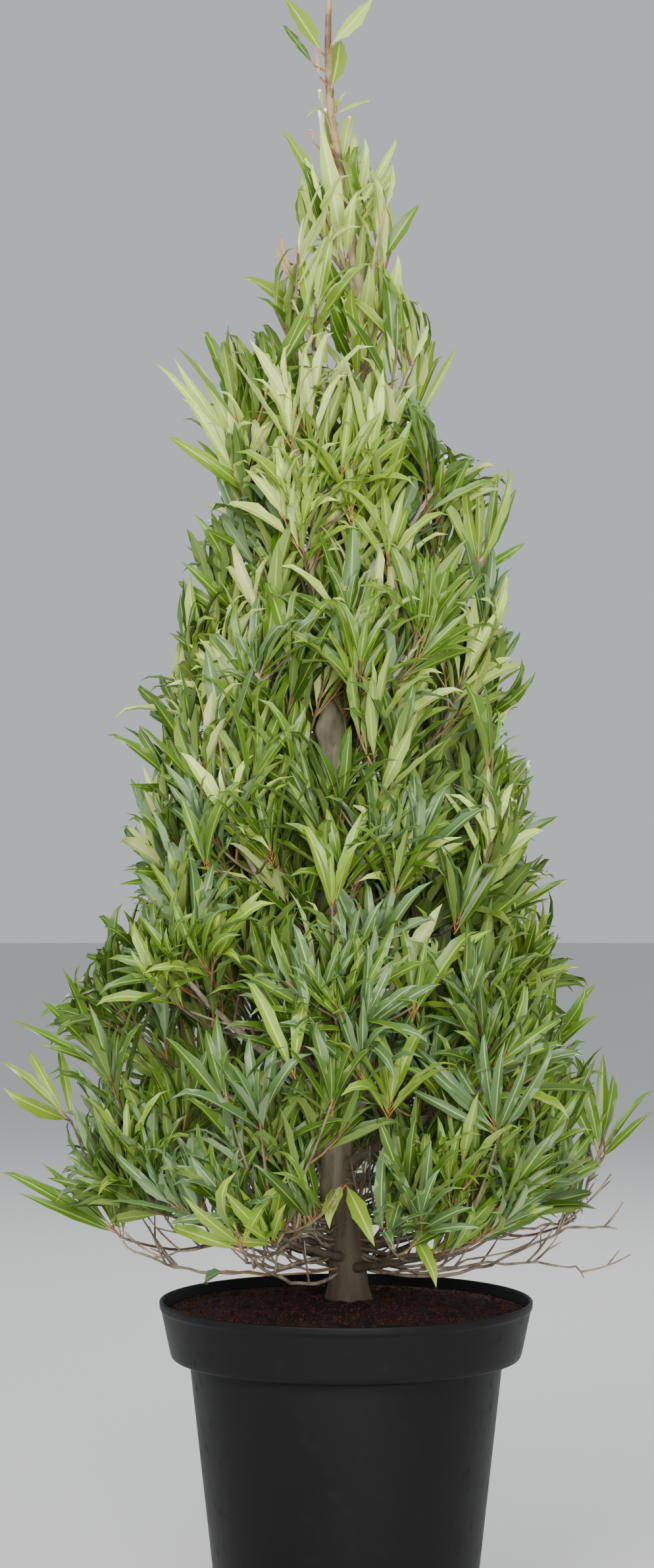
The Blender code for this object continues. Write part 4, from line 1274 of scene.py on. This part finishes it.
def leaf_ring(form, ring, centre, angle):
    """The six corners of a ring: left, rib, rib and right above, and rib and rib below."""
    _, _, wave, twist, fold, _ = form
    share, wide = LEAF_RINGS[ring]
    tangent = Vector((0, -math.sin(angle), math.cos(angle)))
    spin = Matrix.Rotation(twist * share, 3, tangent)
    across = spin @ Vector((1, 0, 0))
    upper = spin @ Vector((0, math.cos(angle), math.sin(angle)))
    half = LEAF_ASPECT / 2 * wide
    rib = max(LEAF_ASPECT / 2 * RIB_HALF * straight(RIB_TAPER, share), half * RIB_LEAST)
    side = 1 if ring % 2 else -1
    wavy = LEAF_EDGE_WAVE * side
    ripple = wave * half * side if share >= RIPPLE_START else 0
    thick = upper * (LEAF_THICKNESS * straight(THICKNESS_TAPER, share)) * RIB_DEPTH
    return [
        centre - across * half * (1 + wavy) + upper * (fold * half + ripple),
        centre - across * rib,
        centre + across * rib,
        centre + across * half * (1 - wavy) + upper * (fold * half - ripple * RIPPLE_RIGHT),
        centre + across * rib - thick,
        centre - across * rib - thick,
    ]


def leaf_mesh(name, form):
    """A closed leaf of unit length along Z. Each face is marked with the part it belongs to."""
    curl, hook, *_, sweep = form
    corners = []
    for ring, (y, z, angle) in enumerate(leaf_spine(curl, hook)):
        share, wide = LEAF_RINGS[ring]
        centre = Vector((sweep * share**2, y, z))
        corners += leaf_ring(form, ring, centre, angle) if wide else [centre]
    tip = len(corners) - 1
    sides = len(LEAF_SIDES)
    faces = [(a, b, tip) if c >= tip else (a, b, c, d) for a, d, c, b in ring_faces(tip // sides, sides)]
    faces.append(tuple(range(sides - 1, -1, -1)))
    parts = [STALK] * sides + list(LEAF_SIDES) * (tip // sides - 1) + [STALK]
    mesh = bpy.data.meshes.new(name)
    mesh.from_pydata(corners, [], faces)
    mesh.attributes.new("part", "INT", "FACE").data.foreach_set("value", parts)
    mesh.shade_smooth()
    face_outwards(mesh)
    for edge in mesh.edges:
        places = {place % sides for place in edge.vertices}
        if tip in edge.vertices or (len(places) == 1 and places <= OUTER_CORNERS):
            edge.use_edge_sharp = True
    return mesh


def leaf_shapes():
    """The leaf's shapes, in a collection outside the scene that a tree copies them from."""
    collection = bpy.data.collections.new("leaf_shapes")
    for index, form in enumerate(LEAF_FORMS):
        name = f"leaf_shape_{index}"
        collection.objects.link(bpy.data.objects.new(name, leaf_mesh(name, form)))
    return collection


# Meshes of the pot, soil and trunk


def turns(sides):
    """The angles of the corners round a ring."""
    return [math.tau * side / sides for side in range(sides)]


def ring_faces(rings, sides):
    """Faces from each ring of corners to the next, as numbers of the corners."""
    faces = []
    for ring in range(rings):
        for side in range(sides):
            a = ring * sides + side
            b = ring * sides + (side + 1) % sides
            faces.append((a, a + sides, b + sides, b))
    return faces


def face_outwards(mesh):
    shape = bmesh.new()
    shape.from_mesh(mesh)
    bmesh.ops.recalc_face_normals(shape, faces=shape.faces)
    shape.to_mesh(mesh)
    shape.free()


def closed_skin(name, first, rings, last):
    """A closed skin over rings of corners, from one point on the axis to another."""
    sides = len(rings[0])
    corners = [corner for ring in rings for corner in ring] + [first, last]
    faces = ring_faces(len(rings) - 1, sides)
    start, end = len(corners) - 2, len(corners) - 1
    base = (len(rings) - 1) * sides
    for side in range(sides):
        after = (side + 1) % sides
        faces.append((start, side, after))
        faces.append((end, base + after, base + side))
    mesh = bpy.data.meshes.new(name)
    mesh.from_pydata(corners, [], faces)
    face_outwards(mesh)
    mesh.shade_smooth()
    return mesh


def rounded(points, radius, steps=3):
    """A profile with each inner corner replaced by a short arc."""
    result = [points[0]]
    for before, corner, after in zip(points, points[1:], points[2:]):
        a, b, c = Vector(before), Vector(corner), Vector(after)
        cut = min(radius, (a - b).length * CORNER_SHARE, (c - b).length * CORNER_SHARE)
        start, end = b + (a - b).normalized() * cut, b + (c - b).normalized() * cut
        for step in range(steps + 1):
            t = step / steps
            point = start * (1 - t) ** 2 + b * 2 * t * (1 - t) + end * t**2
            result.append((point.x, point.y))
    return result + [points[-1]]


def pot_mesh():
    """The pot's skin: rim bead, flared band, groove under the band, leaning body and base."""
    profile = rounded(POT_OUTSIDE + POT_INSIDE, POT_CORNER_ROUND)
    rings = [[on_circle(radius, turn, z) for turn in turns(POT_STEPS)] for radius, z in profile[1:-1]]
    return closed_skin("pot_shell", (0, 0, profile[0][1]), rings, (0, 0, profile[-1][1]))


def soil_height(radius, angle):
    """The soil's top: domed to the middle, and lumpy but at its edge."""
    share = min(radius / SOIL_EDGE_RADIUS, 1)
    height = SOIL_TOP - SOIL_EDGE_DROP * share**SOIL_DOME_POWER
    where = Vector(on_circle(radius, angle, 0))
    lump = noise.fractal(where * SOIL_LUMP_SCALE, *SOIL_FRACTAL)
    return height + lump * SOIL_LUMP * (1 - share**SOIL_EDGE_POWER)


def soil_mesh():
    """A lumpy top over a plain closed body inside the pot."""
    rings = []
    for ring in range(1, SOIL_RINGS + 1):
        radius = SOIL_EDGE_RADIUS * ring / SOIL_RINGS
        rings.append([on_circle(radius, turn, soil_height(radius, turn)) for turn in turns(SOIL_SPOKES)])
    for radius, height in SOIL_SIDE:
        rings.append([on_circle(radius, turn, height) for turn in turns(SOIL_SPOKES)])
    return closed_skin("soil_body", (0, 0, soil_height(0, 0)), rings, (0, 0, SOIL_FOOT))


def crumb_bed():
    """The part of the soil's top that crumbs are scattered on."""
    corners = []
    for ring in range(CRUMB_RINGS + 1):
        radius = blend(*CRUMB_RADII, ring / CRUMB_RINGS)
        for turn in turns(CRUMB_SPOKES):
            corners.append(on_circle(radius, turn, soil_height(radius, turn) - CRUMB_SINK))
    mesh = bpy.data.meshes.new("soil_crumbs")
    mesh.from_pydata(corners, [], ring_faces(CRUMB_RINGS, CRUMB_SPOKES))
    return mesh


def crumb_shapes():
    """Shapes of crumbs, in a collection outside the scene that a tree copies them from."""
    collection = bpy.data.collections.new("crumb_shapes")
    rng = random.Random(SEED)
    for index in range(CRUMB_KINDS):
        mesh = bpy.data.meshes.new(f"crumb_{index}")
        shape = bmesh.new()
        bmesh.ops.create_icosphere(shape, subdivisions=1, radius=1.0)
        stretch = Vector((1.0, rng.uniform(*CRUMB_WIDTHS), rng.uniform(*CRUMB_HEIGHTS)))
        for vertex in shape.verts:
            bump = rng.uniform(*CRUMB_BUMPS)
            vertex.co = Vector([value * part * bump for value, part in zip(vertex.co, stretch)])
        shape.to_mesh(mesh)
        shape.free()
        collection.objects.link(bpy.data.objects.new(mesh.name, mesh))
    return collection


def relief(x, y, height, grain):
    """Noise round and up the trunk, as a share of its radius."""
    around, upwards, share = grain
    return share * noise.noise(Vector((x * around, y * around, height * upwards)))


def trunk_swell(angle, height):
    """How far the trunk's skin stands out: root flare, ridges of the bark and knots."""
    x, y, _ = on_circle(1, angle, height)
    flare = max(1 - (height - TRUNK_FOOT) / FLARE_HEIGHT, 0) ** FLARE_POWER
    lobe = 1 - FLARE_LOBE_SHARE + FLARE_LOBE_SHARE * math.cos(FLARE_LOBES * angle + FLARE_TURN)
    swell = 1 + FLARE_SPREAD * flare * lobe
    swell = swell + relief(x, y, height, BARK_RIDGES) + relief(x, y, height, BARK_GRAIN)
    for knot_height, knot_angle, knot_size in TRUNK_KNOTS:
        turn = (angle - knot_angle + math.pi) % math.tau - math.pi
        away = math.hypot((height - knot_height) / KNOT_HEIGHT, turn / KNOT_TURN)
        swell += knot_size * math.exp(-away * away)
    return swell


def trunk_mesh():
    """The trunk as a swept tube with flat ends."""
    count = round((TRUNK_TIP - TRUNK_FOOT) / TRUNK_RING_STEP)
    corners = []
    for ring in range(count + 1):
        height = blend(TRUNK_FOOT, TRUNK_TIP, ring / count)
        centre, radius = smooth_bend(height)
        for turn in turns(TRUNK_SIDES):
            swell = trunk_swell(turn, height)
            x = centre.x + math.cos(turn) * radius * swell
            corners.append((x, centre.y + math.sin(turn) * radius * swell, height))
    faces = [(a, b, c, d) for a, d, c, b in ring_faces(count, TRUNK_SIDES)]
    faces.append(tuple(range(TRUNK_SIDES - 1, -1, -1)))
    faces.append(tuple(range(count * TRUNK_SIDES, (count + 1) * TRUNK_SIDES)))
    mesh = bpy.data.meshes.new("trunk_bark")
    mesh.from_pydata(corners, [], faces)
    mesh.shade_smooth()
    return mesh


# Node graphs


class Value:
    """A socket's value. Arithmetic on it adds Math nodes."""

    def __init__(self, graph, socket):
        self.graph, self.socket = graph, socket

    def math(self, operation, *others):
        inputs = {index: other for index, other in enumerate((self, *others))}
        return self.graph.node("ShaderNodeMath", {"operation": operation}, inputs)

    def __add__(self, other):
        return self.math("ADD", other)

    def __sub__(self, other):
        return self.math("SUBTRACT", other)

    def __rsub__(self, other):
        return self.graph.node("ShaderNodeMath", {"operation": "SUBTRACT"}, {0: other, 1: self})

    def __mul__(self, other):
        return self.math("MULTIPLY", other)

    __radd__ = __add__
    __rmul__ = __mul__

    def above(self, low, high):
        """0 below low, 1 above high, and a smooth rise between them."""
        settings = {"interpolation_type": "SMOOTHSTEP"}
        return self.graph.node("ShaderNodeMapRange", settings, {0: self, 1: low, 2: high})


class Graph:
    """Adds nodes to a shader or geometry tree."""

    def __init__(self, tree):
        self.tree = tree

    def node(self, kind, settings=None, inputs=None, output=0):
        made = self.tree.nodes.new(kind)
        for key, value in (settings or {}).items():
            setattr(made, key, value)
        for key, value in (inputs or {}).items():
            if isinstance(value, Value):
                self.tree.links.new(value.socket, made.inputs[key])
            else:
                made.inputs[key].default_value = value
        return Value(self, made.outputs[output])


def rgb(colour):
    """A linear colour from an sRGB one of 0 to 255."""
    return (*[((value / 255 + 0.055) / 1.055) ** 2.4 for value in colour], 1)


class Finish(Graph):
    """A material: its name, with the shader's plain values set on its own sockets."""

    def __init__(self, name, colour, **plain):
        self.material = bpy.data.materials.new(name)
        self.material.use_nodes = True
        super().__init__(self.material.node_tree)
        self.shader = self.tree.nodes["Principled BSDF"]
        self.shader.inputs["Base Color"].default_value = rgb(colour)
        for key, value in plain.items():
            self.shader.inputs[key.replace("_", " ")].default_value = value

    def place(self):
        return self.node("ShaderNodeTexCoord", output=3)

    def grain(self, scale, detail=3.0, stretch=None, distortion=0.0):
        """Noise over the object's own coordinates, 0 to 1."""
        where = self.place()
        if stretch:
            where = self.node("ShaderNodeMapping", {}, {"Vector": where, "Scale": stretch})
        inputs = {"Vector": where, "Scale": scale, "Detail": detail, "Distortion": distortion}
        return self.node("ShaderNodeTexNoise", {}, inputs)

    def mix(self, share, first, second):
        inputs = {0: share, 6: first, 7: second}
        for key in (6, 7):
            if not isinstance(inputs[key], Value):
                inputs[key] = rgb(inputs[key])
        return self.node("ShaderNodeMix", {"data_type": "RGBA"}, inputs, output=2)

    def feed(self, socket, value):
        self.tree.links.new(value.socket, self.shader.inputs[socket])

    def bump(self, height, distance, strength=1.0):
        inputs = {"Height": height, "Distance": distance, "Strength": strength}
        self.feed("Normal", self.node("ShaderNodeBump", {}, inputs))


def pot_plastic():
    """Matt black plastic, a little cloudy and dusty."""
    finish = Finish("pot_plastic", (17, 17, 18), Roughness=0.5, Specular_IOR_Level=0.16)
    cloud = finish.grain(scale=7.0, detail=4.0)
    dust = finish.grain(scale=60.0, detail=5.0).above(0.52, 0.75)
    finish.feed("Base Color", finish.mix(cloud * 0.35 + dust * 0.18, (13, 13, 14), (30, 29, 28)))
    finish.feed("Roughness", cloud * 0.16 + dust * 0.14 + 0.40)
    finish.bump(finish.grain(scale=1600.0, detail=2.0), distance=0.0002, strength=0.35)
    return finish.material


def soil_earth():
    """Dark moist peat and bark."""
    finish = Finish("soil_earth", (40, 22, 17), Roughness=0.95, Specular_IOR_Level=0.2)
    coarse = finish.grain(scale=90.0, detail=4.0)
    fine = finish.grain(scale=520.0, detail=3.0)
    finish.feed("Base Color", finish.mix(coarse.above(0.35, 0.68), (20, 9, 7), (50, 26, 19)))
    finish.bump(coarse * 0.6 + fine * 0.4, distance=0.0020, strength=0.9)
    return finish.material


def crumb_earth():
    """The same earth, drier and lighter on its crumbs."""
    finish = Finish("crumb_earth", (46, 26, 20), Roughness=0.95, Specular_IOR_Level=0.2)
    coarse = finish.grain(scale=170.0, detail=3.0)
    finish.feed("Base Color", finish.mix(coarse.above(0.36, 0.66), (23, 11, 8), (66, 35, 26)))
    finish.bump(finish.grain(scale=900.0, detail=3.0), distance=0.0008, strength=0.8)
    return finish.material


def bark(name, dark, light, lichen, by_height=None):
    """Smooth bark, streaked along the limb, with lighter patches and small dark breaks.

    A function of the height can change its colour.
    """
    finish = Finish(name, light, Roughness=0.82)
    streak = finish.grain(scale=70.0, detail=5.0, stretch=(1.0, 1.0, 0.16), distortion=0.6)
    patch = finish.grain(scale=24.0, detail=3.0)
    breaks = finish.grain(scale=210.0, detail=4.0, stretch=(1.0, 1.0, 0.5)).above(0.60, 0.70)
    base = finish.mix(streak.above(0.32, 0.70), dark, light)
    base = finish.mix(patch.above(0.52, 0.72) * 0.55, base, lichen)
    base = finish.mix(breaks * 0.6, base, dark)
    if by_height:
        base = by_height(finish, base)
    finish.feed("Base Color", base)
    finish.feed("Roughness", patch * 0.2 + 0.70)
    finish.bump(streak * 0.7 - breaks * 0.5, distance=0.0012, strength=0.8)
    return finish.material


def young_skin(finish, colours):
    """Smooth skin that runs between two colours in patches."""
    return finish.mix(finish.grain(scale=45.0, detail=3.0).above(0.38, 0.64), *colours)


def foot_shade_and_young(finish, base):
    """The trunk's colour: painted shade at its foot, and the leader's skin at its upper end."""
    height = finish.node("ShaderNodeSeparateXYZ", {}, {0: finish.place()}, output=2)
    base = finish.mix(height.above(*YOUNG_BARK), base, young_skin(finish, LEADER_COLOURS))
    # Painted shade, darkest at the trunk's foot
    foot_shade = (1 - height.above(*FOOT_SHADE_HEIGHTS)) * FOOT_SHADE_SHARE
    return finish.mix(foot_shade, base, FOOT_SHADE_COLOUR)


def grey_bark():
    return bark("grey_bark", (152, 141, 112), (214, 205, 168), (226, 221, 184), foot_shade_and_young)


def twig_bark():
    return bark("twig_bark", (92, 78, 58), (138, 126, 96), (150, 142, 108))


def dry_bark():
    return bark("dry_bark", (98, 85, 68), (152, 139, 115), (178, 170, 148))


def leader_skin():
    finish = Finish("leader_skin", LEADER_COLOURS[1], Roughness=0.6)
    finish.feed("Base Color", young_skin(finish, LEADER_COLOURS))
    return finish.material


def shoot_skin():
    """The skin of a young shoot, green in places and reddish in others."""
    finish = Finish("shoot_skin", SHOOT_COLOURS[1], Roughness=0.6)
    finish.feed("Base Color", young_skin(finish, SHOOT_COLOURS))
    return finish.material


def leaf_skins(green):
    """The plain materials of a leaf's four parts, by the names of the tree's inputs."""
    skins = {}
    for part, colour, roughness in zip(LEAF_PARTS, GREENS[green], LEAF_ROUGHNESS):
        skins[part] = Finish(f"{green}_{part.lower()}", colour, Roughness=roughness).material
    return skins


# Geometry trees


class Growth(Graph):
    """A geometry tree with named inputs, run as a modifier and then made plain mesh."""

    def __init__(self, name, inputs):
        super().__init__(bpy.data.node_groups.new(name, "GeometryNodeTree"))
        face = self.tree.interface
        face.new_socket(name="Geometry", in_out="OUTPUT", socket_type="NodeSocketGeometry")
        self.keys = {}
        for label, kind in {"Geometry": "Geometry", **inputs}.items():
            socket = face.new_socket(name=label, in_out="INPUT", socket_type=f"NodeSocket{kind}")
            self.keys[label] = socket.identifier
        self.source = self.tree.nodes.new("NodeGroupInput")

    def input(self, label):
        return Value(self, self.source.outputs[label])

    def named(self, name, kind):
        """A value that the points or faces carry under a name."""
        return self.node("GeometryNodeInputNamedAttribute", {"data_type": kind}, {"Name": name})

    def shapes(self, label):
        """The shapes of a collection, each by itself."""
        settings = {"transform_space": "ORIGINAL"}
        values = {"Collection": self.input(label), "Separate Children": True, "Reset Children": True}
        return self.node("GeometryNodeCollectionInfo", settings, values)

    def plain(self, geometry, label):
        """Real faces, all of one input's material."""
        whole = self.node("GeometryNodeRealizeInstances", {}, {"Geometry": geometry})
        values = {"Geometry": whole, "Material": self.input(label)}
        return self.node("GeometryNodeSetMaterial", {}, values)

    def end(self, geometry):
        last = self.tree.nodes.new("NodeGroupOutput")
        self.tree.links.new(geometry.socket, last.inputs["Geometry"])

    def run(self, item, values):
        """Apply the tree to an object. Returns the object with its new plain mesh."""
        modifier = item.modifiers.new(self.tree.name, "NODES")
        modifier.node_group = self.tree
        for label, value in values.items():
            modifier[self.keys[label]] = value
        bpy.context.view_layer.update()
        depsgraph = bpy.context.evaluated_depsgraph_get()
        mesh = bpy.data.meshes.new_from_object(item.evaluated_get(depsgraph))
        item.modifiers.remove(modifier)
        old = item.data
        item.data = mesh
        mesh.name = item.name
        bpy.data.meshes.remove(old)
        return item


def leaf_growth():
    """Puts a leaf shape on every point, by its own turn, size and shape number."""
    inputs = {"Leaf shapes": "Collection"} | {part: "Material" for part in LEAF_PARTS}
    tree = Growth("leaves_on_points", inputs)
    values = {
        "Points": tree.node("GeometryNodeMeshToPoints", {}, {"Mesh": tree.input("Geometry")}),
        "Instance": tree.shapes("Leaf shapes"),
        "Pick Instance": True,
        "Instance Index": tree.named("shape", "INT"),
        "Rotation": tree.node("FunctionNodeEulerToRotation", {}, {0: tree.named("turn", "FLOAT_VECTOR")}),
        "Scale": tree.named("size", "FLOAT_VECTOR"),
    }
    whole = tree.plain(tree.node("GeometryNodeInstanceOnPoints", {}, values), LEAF_PARTS[BLADE])
    part = tree.named("part", "INT")
    for number in (UNDERSIDE, RIB, STALK):
        settings = {"data_type": "INT", "operation": "EQUAL"}
        same = tree.node("FunctionNodeCompare", settings, {2: part, 3: number})
        values = {"Geometry": whole, "Selection": same, "Material": tree.input(LEAF_PARTS[number])}
        whole = tree.node("GeometryNodeSetMaterial", {}, values)
    tree.end(whole)
    return tree


def twig_growth():
    """Gives every line of edges a lumpy round skin of its own radii, closed at both ends."""
    inputs = {"Sides": "Int", "Ring step": "Float", "Relief": "Float", "Skin": "Material"}
    tree = Growth("skin_on_lines", inputs)
    lines = tree.node("GeometryNodeMeshToCurve", {}, {"Mesh": tree.input("Geometry")})
    values = {"Curve": lines, "Length": tree.input("Ring step")}
    lines = tree.node("GeometryNodeResampleCurve", {"mode": "LENGTH"}, values)
    values = {"Resolution": tree.input("Sides"), "Radius": 1.0}
    ring = tree.node("GeometryNodeCurvePrimitiveCircle", {}, values)
    radius = tree.named("radius", "FLOAT")
    values = {"Curve": lines, "Profile Curve": ring, "Scale": radius, "Fill Caps": True}
    skin = tree.node("GeometryNodeCurveToMesh", {}, values)
    lumps = tree.node("ShaderNodeTexNoise", {}, {"Scale": LUMP_SCALE, "Detail": 2.0}) - 0.5
    values = {0: tree.node("GeometryNodeInputNormal"), "Scale": lumps * tree.input("Relief")}
    push = tree.node("ShaderNodeVectorMath", {"operation": "SCALE"}, values)
    skin = tree.node("GeometryNodeSetPosition", {}, {"Geometry": skin, "Offset": push})
    skin = tree.node("GeometryNodeSetShadeSmooth", {}, {"Geometry": skin})
    tree.end(tree.plain(skin, "Skin"))
    return tree


def crumb_growth():
    """Scatters crumbs over the soil, at random turns and sizes."""
    inputs = {"Crumb shapes": "Collection", "Density": "Float", "Size": "Float", "Seed": "Int"}
    tree = Growth("crumbs_on_soil", inputs | {"Earth": "Material"})
    seed = tree.input("Seed")
    values = {"Mesh": tree.input("Geometry"), "Density": tree.input("Density"), "Seed": seed}
    points = tree.node("GeometryNodeDistributePointsOnFaces", {}, values)
    angles = {0: (0.0, 0.0, 0.0), 1: (math.tau, math.tau, math.tau), "Seed": seed}
    turn = tree.node("FunctionNodeRandomValue", {"data_type": "FLOAT_VECTOR"}, angles)
    least, most = CRUMB_SIZE_SHARES
    sizes = {2: least, 3: most, "Seed": seed}
    size = tree.node("FunctionNodeRandomValue", {"data_type": "FLOAT"}, sizes, output=1)
    values = {
        "Points": points,
        "Instance": tree.shapes("Crumb shapes"),
        "Pick Instance": True,
        "Rotation": tree.node("FunctionNodeEulerToRotation", {}, {0: turn}),
        "Scale": size * tree.input("Size"),
    }
    tree.end(tree.plain(tree.node("GeometryNodeInstanceOnPoints", {}, values), "Earth"))
    return tree


def drain_growth():
    """Cuts a ring of round holes through a base."""
    inputs = {"Holes": "Int", "Ring radius": "Float", "Hole radius": "Float", "Cut depth": "Float"}
    tree = Growth("drain_holes", inputs | {"Plastic": "Material"})
    values = {"Vertices": tree.input("Holes"), "Radius": tree.input("Ring radius")}
    ring = tree.node("GeometryNodeMeshCircle", {}, values)
    values = {"Geometry": ring, "Rotation": (0, 0, math.pi / DRAIN_HOLES)}
    ring = tree.node("GeometryNodeTransform", {}, values)
    values = {"Radius": tree.input("Hole radius"), "Depth": tree.input("Cut depth")}
    pin = tree.node("GeometryNodeMeshCylinder", {}, {"Vertices": DRAIN_HOLE_SIDES, **values})
    pins = tree.node("GeometryNodeInstanceOnPoints", {}, {"Points": ring, "Instance": pin})
    pins = tree.node("GeometryNodeRealizeInstances", {}, {"Geometry": pins})
    values = {"Mesh 1": tree.input("Geometry"), "Mesh 2": pins}
    base = tree.node("GeometryNodeMeshBoolean", {"operation": "DIFFERENCE"}, values)
    tree.end(tree.plain(base, "Plastic"))
    return tree


# Pieces


def new_item(name, mesh):
    item = bpy.data.objects.new(name, mesh)
    bpy.context.scene.collection.objects.link(item)
    return item


def leaf_points(name, leaves):
    """A point for every leaf, with its turn, size and shape."""
    mesh = bpy.data.meshes.new(name)
    mesh.from_pydata([leaf.root for leaf in leaves], [], [])
    angles = np.array([leaf.turn[:] for leaf in leaves], np.float32)
    sizes = np.array([(leaf.length * leaf.width, leaf.length, leaf.length) for leaf in leaves], np.float32)
    mesh.attributes.new("turn", "FLOAT_VECTOR", "POINT").data.foreach_set("vector", angles.ravel())
    mesh.attributes.new("size", "FLOAT_VECTOR", "POINT").data.foreach_set("vector", sizes.ravel())
    shapes = [leaf.shape for leaf in leaves]
    mesh.attributes.new("shape", "INT", "POINT").data.foreach_set("value", shapes)
    return new_item(name, mesh)


def twig_lines(name, twigs):
    """The twigs' paths as lines of edges, with a radius at every point."""
    mesh = bpy.data.meshes.new(name)
    points, radii, edges = [], [], []
    for path, taper in twigs:
        first = len(points)
        points += path
        radii += taper
        edges += [(i, i + 1) for i in range(first, len(points) - 1)]
    mesh.from_pydata(points, edges, [])
    mesh.attributes.new("radius", "FLOAT", "POINT").data.foreach_set("value", radii)
    return new_item(name, mesh)


def stand_for(item, slot, *nodes):
    """Make an object ride on the plant and stand for nodes of the solids, which it hides. The slot is not
    used.
    """
    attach(item, "root")
    if nodes:
        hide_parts(*nodes)


def dress_pot():
    values = {
        "Holes": DRAIN_HOLES,
        "Ring radius": DRAIN_RING_RADIUS,
        "Hole radius": DRAIN_HOLE_RADIUS,
        "Cut depth": DRAIN_CUT_DEPTH,
        "Plastic": pot_plastic(),
    }
    pot = drain_growth().run(new_item("pot_shell", pot_mesh()), values)
    pot.data.set_sharp_from_angle(angle=SHARP_ANGLE)
    stand_for(pot, "pot_plastic", "pot")


def dress_soil():
    soil = new_item("soil_body", soil_mesh())
    soil.data.materials.append(soil_earth())
    stand_for(soil, "soil", "soil")
    values = {
        "Crumb shapes": crumb_shapes(),
        "Density": CRUMB_DENSITY,
        "Size": CRUMB_SIZE,
        "Seed": SEED,
        "Earth": crumb_earth(),
    }
    crumbs = crumb_growth().run(new_item("soil_crumbs", crumb_bed()), values)
    stand_for(crumbs, "soil")


def dress_trunk(skin):
    trunk = new_item("trunk_bark", trunk_mesh())
    trunk.data.materials.append(skin)
    stand_for(trunk, "bark", "trunk")


def dress_twigs(plant, limb_skin):
    """Limbs, leader and twigs, a piece for each kind. The limbs stand for the boughs."""
    boughs = sorted(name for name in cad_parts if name.startswith("bough_"))
    skins = {
        "limbs": limb_skin,
        "leader": leader_skin(),
        "old_twigs": twig_bark(),
        "bare_twigs": dry_bark(),
        "young_shoots": shoot_skin(),
    }
    tree = twig_growth()
    for kind, skin in skins.items():
        sides, step, lumps = SKINS[kind]
        values = {"Sides": sides, "Ring step": step, "Relief": lumps, "Skin": skin}
        item = tree.run(twig_lines(kind, plant.twigs[kind]), values)
        stand_for(item, "bark", *(boughs if kind == "limbs" else ()))


def dress_leaves(plant):
    """The leaves, in pieces by green and height, each standing for the masses of its leaves."""
    shapes = leaf_shapes()
    tree = leaf_growth()
    for green, leaves in plant.leaves.items():
        slot = "young_foliage" if green in YOUNG_GREENS else "foliage"
        values = {"Leaf shapes": shapes, **leaf_skins(green)}
        leaves.sort(key=lambda leaf: leaf.root.z)
        pieces = math.ceil(len(leaves) / LEAVES_PER_PIECE)
        for number in range(pieces):
            part = leaves[number * len(leaves) // pieces : (number + 1) * len(leaves) // pieces]
            item = tree.run(leaf_points(f"leaves_{green}_{number + 1}", part), values)
            stand_for(item, slot, *sorted({leaf.mass for leaf in part}))


def dress():
    dress_pot()
    dress_soil()
    skin = grey_bark()
    dress_trunk(skin)
    plant = grow_plant()
    dress_twigs(plant, skin)
    dress_leaves(plant)


def make_floor():
    mesh = bpy.data.meshes.new("floor")
    rim = [on_circle(FLOOR_RADIUS, turn, 0) for turn in turns(FLOOR_SIDES)]
    mesh.from_pydata(rim, [], [tuple(range(FLOOR_SIDES))])
    mesh.materials.append(Finish("pale_floor", FLOOR_COLOUR, Roughness=0.9).material)
    new_item("floor", mesh)


def make_room():
    """The soft light that comes from all sides."""
    world = bpy.data.worlds.new("soft_room")
    world.use_nodes = True
    background = world.node_tree.nodes["Background"]
    background.inputs["Color"].default_value = rgb(ROOM_COLOUR)
    background.inputs["Strength"].default_value = ROOM_STRENGTH
    bpy.context.scene.world = world


def make_lamp(name, place, aim_height, watts):
    lamp = bpy.data.lights.new(name, "AREA")
    lamp.shape = "DISK"
    lamp.size = LAMP_SIZE
    lamp.energy = watts
    item = new_item(name, lamp)
    item.location = place
    item.rotation_euler = (up(aim_height) - Vector(place)).to_track_quat("-Z", "Y").to_euler()


def make_camera():
    """The photograph's view, level and square to the plant."""
    camera = bpy.data.cameras.new("photo_view")
    camera.lens = LENS
    camera.sensor_width = SENSOR
    item = new_item("photo_view", camera)
    item.location = CAMERA_PLACE
    item.rotation_euler = (math.pi / 2, 0, 0)
    bpy.context.scene.camera = item


def studio():
    make_floor()
    make_room()
    for name, (place, aim_height, watts) in LAMPS.items():
        make_lamp(name, place, aim_height, watts)
    make_camera()


studio()
dress()
